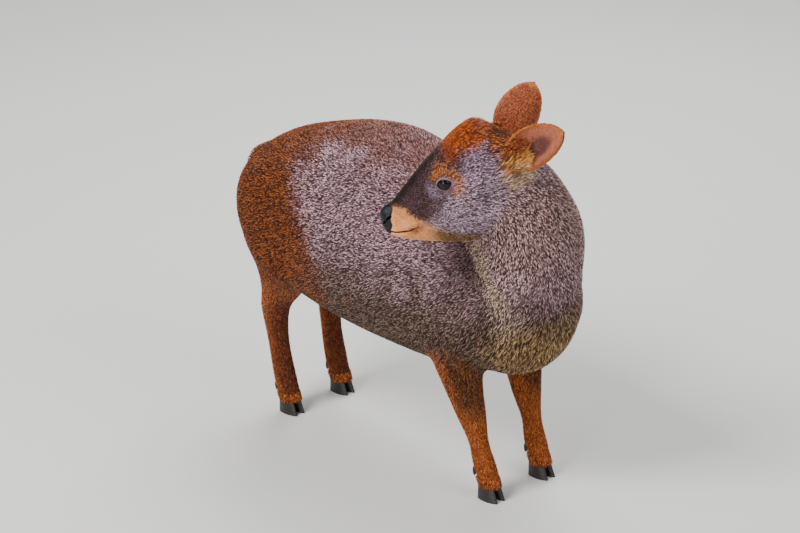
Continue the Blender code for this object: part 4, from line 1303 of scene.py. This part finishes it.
def skin_coat(skin, material):
    """Tufts over the whole skin, part by part, each with its own spacing."""
    mesh = skin.data
    points, normal, triangles = points_of(mesh), normals_of(mesh), triangles_of(mesh)
    middle = points[triangles].mean(1)
    names = np.array(PART_NAMES)[where(middle)[0].argmax(1)]
    local = mirrored_head(middle)
    head = names == "head"
    front = local[:, 0] < 0.085
    top = head & ((spot(local, CROWN, [0.040, 0.036, 0.032]) > 0) | (near_ear(middle) > 0.3))
    kinds = [
        ("coat_trunk", "body_coat", 0.00185, (names == "trunk") | (names == "tail"), SHORT_TUFT),
        ("coat_neck", "body_coat", 0.0016, names == "neck", SHORT_TUFT),
        ("coat_forelegs", "leg_coat", 0.0015, names == "foreleg", SHORT_TUFT),
        ("coat_hindlegs", "leg_coat", 0.0015, names == "hindleg", SHORT_TUFT),
        ("coat_crown", "body_coat", 0.00125, top, LONG_TUFT),
        ("coat_cheeks", "body_coat", 0.00112, head & ~front & ~top, SHORT_TUFT),
        ("coat_face", "body_coat", 0.00095, head & front, SHORT_TUFT),
    ]
    for seed, (name, slot, spacing, chosen, kind) in enumerate(kinds):
        root, out = scatter(points, normal, triangles[chosen], spacing, 100 + seed)
        grows = ~bare(root)
        root, out = root[grows], out[grows]
        share, along, around, ways = where(root)
        own = share.argmax(1)
        parts = sorted(set(own.tolist()))
        tile = np.searchsorted(parts, own)
        rows = np.arange(len(root))
        uv = np.stack([
            0.004 + 0.992 * (tile + 0.01 + 0.98 * along[rows, own]) / max(1, len(parts)),
            0.004 + 0.992 * around[rows, own],
        ], 1)
        lie = lie_of_coat(root, out, share, ways)
        sizes = hair_sizes(root, share)
        stray = 0.0018 if "face" in name else 0.003
        strayed = root + np.random.default_rng(400 + seed).normal(0, stray, root.shape)
        colours = markings(strayed, out, share)
        coat_pieces(name, material, slot, root, out, lie, *sizes, colours, uv, 200 + seed, kind)


def coronet_fringe(material):
    """Tufts round the foot of each leg, combed down and a little out over the tops of the claws."""
    draw = np.random.default_rng(51)
    count = 1100
    places, ways = [], []
    for table in (FORELEG, HINDLEG):
        rows = eased(table, 80)
        for side in (1, -1):
            z = draw.uniform(0.0200, 0.0300, count)
            x, out, fore, wide = (np.interp(z, rows[::-1, 2], rows[::-1, k]) for k in (0, 1, 3, 4))
            angle = draw.uniform(0, 2 * math.pi, count)
            around = np.stack([np.cos(angle), np.sin(angle), 0 * angle], 1)
            reach = np.stack([fore, wide, 0 * fore], 1) - COAT_ON_FEET
            places.append(np.stack([x, side * out, z], 1) + around * reach)
            ways.append(around)
    place, out = np.vstack(places), np.vstack(ways)
    n = len(place)
    lie = unit(np.array([0.0, 0.0, -1.0]) + out * 0.30)
    out = unit(out + np.array([0.0, 0.0, 0.30]))
    tile = np.repeat(np.arange(4), count)
    uv = np.stack([(tile + 0.02 + 0.96 * draw.uniform(0, 1, n)) / 4, draw.uniform(0.02, 0.98, n)], 1)
    colours = (paint("leg_root") * 0.9 + 0 * place, paint("leg_tip") + 0 * place)
    sizes = (np.full(n, size) for size in (0.0062, 0.0008, 0.0010))
    coat_pieces("coat_coronets", material, "leg_coat", place, out, lie, *sizes, colours, uv, 320, SHORT_TUFT)


def ear_coat(side, material):
    """Short tufts on both faces of an ear, along it and out to its rim."""
    draw = np.random.default_rng(31 if side == "left" else 32)
    for name, inner, count, seed in (("back", 0, 9000, 1), ("cup", 1, 6000, 2)):
        share = draw.uniform(0.0, 1.0, count) ** 0.9
        v = draw.uniform(-1, 1, count)
        inset = ear_thickness(share, v) if inner else 0 * share
        step = 0.004
        place = ear_points(side, share, v, inset)
        further = ear_points(side, share + step, v, inset)
        beside = ear_points(side, share, v + step, inset)
        lie = unit(further - place)
        out = unit(np.cross(lie, beside - place))
        facing = np.sign((out * ear_axes(side)[2]).sum(1))
        out = out * (facing * (1 if inner else -1))[:, None]
        spread = unit(beside - place) * (np.sign(v) * smooth(np.abs(v), 0.2, 1.0) * 0.8)[:, None]
        lie = unit(lie + spread)
        long = np.where(inner, 0.0080 - 0.005 * share, 0.0046 - 0.0014 * share)
        long = long * (1 - 0.45 * np.abs(v) ** 4)
        wide_tuft = np.where(inner, 0.0007, 0.0008) + 0 * share
        colours = ear_colours(share, v, np.full(count, inner))
        uv = np.stack([0.01 + 0.98 * share, 0.25 + 0.24 * v + 0.5 * inner], 1)
        coat_pieces(f"coat_ear_{side}_{name}", material, "ear_coat", place, out, lie, long, wide_tuft,
                    0.0008 + 0 * share, colours, uv, 300 + seed, SHORT_TUFT)
    ear_fringe(side, material)


def ear_fringe(side, material):
    """Long tufts that spring from the head round the ear's root and lie over the foot of its cup."""
    draw = np.random.default_rng(41 if side == "left" else 42)
    count = 2200
    share = draw.uniform(0.0, 0.24, count)
    v = draw.uniform(-0.85, 0.85, count)
    place = ear_points(side, share, v, ear_thickness(share, v) * 0.7)
    tip, opening, wide = ear_axes(side)[1:]
    lie = unit(tip + opening * draw.uniform(0.05, 0.45, count)[:, None] + wide * (0.25 * v)[:, None])
    out = unit(opening - lie * (lie @ opening)[:, None])
    long = draw.uniform(0.010, 0.017, count) * (1 - 0.4 * v**2)
    low_side = v if side == "left" else -v
    rust = smooth(-low_side, -0.25, 0.45)
    cream = smooth(low_side, 0.45, 0.95)
    low = mix(mix(paint("gold_root") + 0 * place, paint("cream_root"), cream), paint("forehead_root"), rust)
    high = mix(mix(paint("gold_tip") + 0 * place, paint("cream_tip"), cream), paint("ear_tip"), rust)
    uv = np.stack([0.01 + 0.98 * (share + 0.02) / 0.26, 0.5 + 0.48 * v], 1)
    coat_pieces(f"coat_ear_{side}_fringe", material, "ear_coat", place, out, lie, long, 0.0008 + 0 * share,
                0.0012 + 0 * share, (low, high), uv, 310, LONG_TUFT)


def new_material(name):
    """A material, its node tree and its surface shader."""
    material = bpy.data.materials.new(name)
    material.use_nodes = True
    return material, material.node_tree, material.node_tree.nodes["Principled BSDF"]


def add_node(tree, kind, values=None, feeds=None, **settings):
    """A shader node with its settings, the values of its inputs, and the outputs that feed them."""
    node = tree.nodes.new("ShaderNode" + kind)
    for key, value in settings.items():
        setattr(node, key, value)
    for key, value in (values or {}).items():
        node.inputs[key].default_value = value
    for key, source in (feeds or {}).items():
        tree.links.new(source, node.inputs[key])
    return node


def colour_material(name, roughness, bump_size, bump_depth):
    """A matt material coloured by coat_colour, with a fine grain in its height."""
    material, tree, shader = new_material(name)
    colour = add_node(tree, "Attribute", attribute_name="coat_colour")
    tree.links.new(colour.outputs["Color"], shader.inputs["Base Color"])
    shader.inputs["Roughness"].default_value = roughness
    shader.inputs["Specular IOR Level"].default_value = 0.25
    place = add_node(tree, "TexCoord").outputs["Object"]
    grain = add_node(tree, "TexNoise", {"Scale": 1 / bump_size, "Detail": 3}, {"Vector": place})
    bump = add_node(tree, "Bump", {"Distance": bump_depth, "Strength": 0.8}, {"Height": grain.outputs["Fac"]})
    tree.links.new(bump.outputs["Normal"], shader.inputs["Normal"])
    return material


def skin_material():
    """The skin's colour, dull under the coat and wet, pebbled leather where the nose is bare."""
    material = colour_material("hide", roughness=0.85, bump_size=0.0011, bump_depth=0.0004)
    tree = material.node_tree
    nodes = tree.nodes
    leather = add_node(tree, "Attribute", attribute_name="leather").outputs["Fac"]
    for socket, dull, wet in (("Roughness", 0.85, 0.28), ("Specular IOR Level", 0.2, 0.22)):
        blend = add_node(tree, "MapRange", {"To Min": dull, "To Max": wet}, {"Value": leather})
        tree.links.new(blend.outputs["Result"], nodes["Principled BSDF"].inputs[socket])
    place = nodes["Texture Coordinate"].outputs["Object"]
    pebbles = add_node(tree, "TexVoronoi", {"Scale": 1 / PEBBLE_SIZE}, {"Vector": place}).outputs["Distance"]
    raised = add_node(tree, "Math", {2: 0.0}, {0: pebbles, 1: leather}, operation="MULTIPLY_ADD")
    both = {0: nodes["Noise Texture"].outputs["Fac"], 1: raised.outputs["Value"]}
    height = add_node(tree, "Math", None, both, operation="SUBTRACT")
    tree.links.new(height.outputs["Value"], nodes["Bump"].inputs["Height"])
    return material


def plain_material(name, colour, roughness, specular):
    """A material of one colour, set on the shader's own sockets."""
    material, _, shader = new_material(name)
    shader.inputs["Base Color"].default_value = (*colour, 1)
    shader.inputs["Roughness"].default_value = roughness
    shader.inputs["Specular IOR Level"].default_value = specular
    return material


def paint_skin(skin, material):
    """The skin's colours and its bare leather, from the same markings as the coat, with painted shade in the
    nostrils.
    """
    mesh = skin.data
    points, normal = points_of(mesh), normals_of(mesh)
    share = where(points)[0]
    root, tip = markings(points, normal, share)
    colour = mix(root, tip, np.full(len(points), SKIN_PALE))
    one_side = mirrored_head(points)
    head = from_head(points)
    on = (one_side[:, 0] < 0.2) & (np.abs(one_side[:, 2]) < 0.09) & (one_side[:, 1] < 0.06)
    arm, _, _, o, level = eye_plane(one_side)
    near = on & (np.linalg.norm(arm, axis=1) < 0.018) & (o > 0)
    colour = mix(colour, paint("lid"), near * smooth(-level, -1.7, -1.2))
    slit = spot(one_side, GLAND, [0.0115, 0.0080, 0.0038]) * on
    colour = mix(colour, paint("gland"), slit)
    mouth = smooth(-mouth_distance(head), -0.0018, -0.0009)
    colour = mix(colour, paint("mouth"), mouth * smooth(-head[:, 0], -0.040, -0.028))
    pad = nose_mask(one_side) * on
    colour = mix(colour, paint("nose"), pad)
    # Painted shade: near black deep in each nostril's hollow
    colour = mix(colour, paint("nostril"), pad * nostril_depth(one_side))
    put_colour(mesh, colour)
    put_value(mesh, "leather", np.maximum(pad, near * (level < 1.25) * 0.6))
    nodes = ["torso", "neck", "head", "tail"]
    nodes += [f"leg_{end}_{side}" for end in ("front", "hind") for side in ("left", "right")]
    placed(skin, material, nodes)


def eye_piece(side):
    """An eyeball: a fine sphere whose front swells a little as the cornea."""
    tilt = np.linspace(-0.4999, 0.4999, 64) * math.pi
    c, s = section(96)
    out, back, up = eye_directions()
    swell = EYE_RADIUS + 0.0006 * smooth(np.sin(tilt), 0.62, 0.95)
    rings = ((swell * np.cos(tilt))[:, None, None] * (c[:, None] * back + s[:, None] * up)
             + (swell * np.sin(tilt))[:, None, None] * out)
    points, faces = rings_to_shell((EYE_PLACE + rings) * [1, MIRROR[side], 1])
    piece = new_piece("eyeball_" + side, on_head(points), faces, eye_material(side), "eye", ["eye_" + side])
    turned(piece.data)


def eye_material(side):
    """A dark brown iris with a level oblong pupil, under a clear wet surface."""
    flip = [1, MIRROR[side], 1]
    back, up = eye_directions()[1:]
    material = plain_material("eye_" + side, (0.0015, 0.001, 0.001), roughness=0.05, specular=0.28)
    tree = material.node_tree
    place = add_node(tree, "TexCoord").outputs["Object"]
    centre = on_head(EYE_PLACE * flip) + SHIFT
    arm = add_node(tree, "VectorMath", {1: centre}, {0: place}, operation="SUBTRACT").outputs["Vector"]
    flat = add_node(tree, "CombineXYZ")
    for key, way, size in (("X", back, PUPIL_HALF[0]), ("Y", up, PUPIL_HALF[1])):
        along = (on_head(way * flip) - on_head([0, 0, 0])) / size
        dot = add_node(tree, "VectorMath", {1: along}, {0: arm}, operation="DOT_PRODUCT")
        tree.links.new(dot.outputs["Value"], flat.inputs[key])
    reach = add_node(tree, "VectorMath", None, {0: flat.outputs["Vector"]}, operation="LENGTH")
    half = add_node(tree, "Math", {1: 0.5}, {0: reach.outputs["Value"]}, operation="MULTIPLY")
    ramp = add_node(tree, "ValToRGB", None, {"Fac": half.outputs["Value"]})
    pupil, iris = ramp.color_ramp.elements
    pupil.position, pupil.color = 0.40, (0.001, 0.001, 0.0015, 1)
    iris.position, iris.color = 0.55, (0.0025, 0.0013, 0.001, 1)
    tree.links.new(ramp.outputs["Color"], tree.nodes["Principled BSDF"].inputs["Base Color"])
    return material


def lid_piece(side, material, stations=96, sides=14):
    """The lids' rim: a small round profile carried along the almond on the eyeball."""
    angle = np.arange(stations) * 2 * math.pi / stations
    out, back, up = eye_directions()
    x = EYE_OPENING[0] * np.cos(angle)
    y = EYE_OPENING[1] * np.sin(angle) * (1 - 0.25 * np.cos(angle) ** 2)
    reach = EYE_RADIUS + LID_STANDS_OFF
    z = np.sqrt(reach**2 - x**2 - y**2)
    path = EYE_PLACE + x[:, None] * back + y[:, None] * up + z[:, None] * out
    along = unit(np.roll(path, -1, 0) - np.roll(path, 1, 0))
    outward = unit(path - EYE_PLACE)
    size = np.full(stations, LID_RADIUS)
    rings = swept_rings(path, np.cross(along, outward), outward, size, size, sides).reshape(-1, 3)
    points = on_head(rings * [1, MIRROR[side], 1])
    triangles = halved(ring_faces(stations, sides, closed=True))
    turned(new_piece("eyelids_" + side, points, triangles, material, "body_coat").data)


def claws(material):
    """Eight claws with growth rings, each in place of its node, and eight dewclaws."""
    dewclaws = []
    for side, mirror in MIRROR.items():
        for leg, table in (("front", FORELEG), ("hind", HINDLEG)):
            x, out = table[-2][:2]
            for claw, beside in (("outer", 1), ("inner", -1)):
                node = f"hoof_{leg}_{side}_{claw}"
                points, faces = claw_shell(x, mirror * out, mirror * beside)
                piece = new_piece(f"claw_{leg}_{side}_{claw}", points, faces, material, "hoof", [node])
                turned(piece.data)
            x, out = table[-3][:2]
            for beside in (1, -1):
                place = [x + DEWCLAW[0], mirror * out + beside * DEWCLAW[1], DEWCLAW[2]]
                dewclaws.append(dewclaw_shell(np.array(place)))
    turned(new_piece("dewclaws", *gather(dewclaws), material, "hoof").data)


def horn_material():
    """Dark horn, a little paler in bands up the claw."""
    material = plain_material("horn", paint("horn"), roughness=0.42, specular=0.4)
    tree = material.node_tree
    place = add_node(tree, "TexCoord").outputs["Object"]
    banded = {"Scale": 60, "Distortion": 3, "Detail": 2}
    bands = add_node(tree, "TexWave", banded, {"Vector": place}, bands_direction="Z")
    ramp = add_node(tree, "ValToRGB", None, {"Fac": bands.outputs["Fac"]})
    pale = 0.5 * paint("horn") + 0.5 * paint("horn_pale")
    for element, colour in zip(ramp.color_ramp.elements, (paint("horn"), pale)):
        element.color = (*colour, 1)
    tree.links.new(ramp.outputs["Color"], tree.nodes["Principled BSDF"].inputs["Base Color"])
    return material


def studio():
    """A plain pale floor, soft lamps, a pale world and the photo's camera."""
    floor = in_scene("floor", new_mesh("floor", *floor_grid()))
    floor.data.materials.append(plain_material("floor", (0.62, 0.61, 0.59), roughness=0.9, specular=0.1))
    world = bpy.data.worlds.new("studio")
    world.use_nodes = True
    sky = world.node_tree.nodes["Background"]
    sky.inputs["Color"].default_value = (0.92, 0.95, 1.0, 1)
    sky.inputs["Strength"].default_value = 0.35
    bpy.context.scene.world = world
    a, e = CAMERA_AZIMUTH, CAMERA_ELEVATION
    back = np.array([math.sin(a) * math.cos(e), -math.cos(a) * math.cos(e), math.sin(e)])
    right = np.array([math.cos(a), math.sin(a), 0])
    target = CAMERA_TARGET + SHIFT
    # Each lamp: its name, how far it stands from the target, its width and its power
    lamps = [
        ("key", back * 1.5 - right * 1.8 + [0, 0, 1.9], 1.3, 140),
        ("fill", back * 2.0 + right * 2.2 + [0, 0, 0.9], 2.0, 45),
        ("rim", -back * 1.5 + right * 0.3 + [0, 0, 2.4], 1.4, 60),
        ("catch", back * 2.2 - right * 0.9 - [0, 0, 0.55], 0.40, 13),
    ]
    for name, place, size, power in lamps:
        lamp = bpy.data.lights.new(name, "AREA")
        lamp.size = size
        lamp.energy = power
        holder = in_scene(name, lamp)
        holder.location = Vector(target + place)
        holder.rotation_euler = (-Vector(place)).to_track_quat("-Z", "Y").to_euler()
    view = bpy.data.cameras.new("photo_view")
    view.lens = CAMERA_LENS
    view.sensor_width = CAMERA_SENSOR
    view.clip_end = 50
    camera = in_scene("photo_view", view)
    camera.location = Vector(target + back * CAMERA_DISTANCE)
    camera.rotation_euler = Vector(-back).to_track_quat("-Z", "Y").to_euler()
    bpy.context.scene.camera = camera


def floor_grid():
    """A square floor, 16 metres across, just under the claws."""
    half = 8.0
    points = np.array([[-half, -half, 0], [half, -half, 0], [half, half, 0], [-half, half, 0]], float)
    return points - SHIFT * [1, 1, 0] - [0, 0, 0.0002], np.array([[0, 1, 2], [0, 2, 3]])


def main():
    """Builds every piece of the looks."""
    coat = colour_material("coat", roughness=0.62, bump_size=0.0016, bump_depth=0.0002)
    hide = skin_material()
    horn = horn_material()
    skin = skin_piece()
    paint_skin(skin, hide)
    skin_coat(skin, coat)
    coronet_fringe(coat)
    lid = plain_material("lid_rim", paint("lid_rim"), roughness=0.45, specular=0.2)
    for side in ("left", "right"):
        ear_piece(side, hide)
        ear_coat(side, coat)
        eye_piece(side)
        lid_piece(side, lid)
    claws(horn)
    studio()


main()
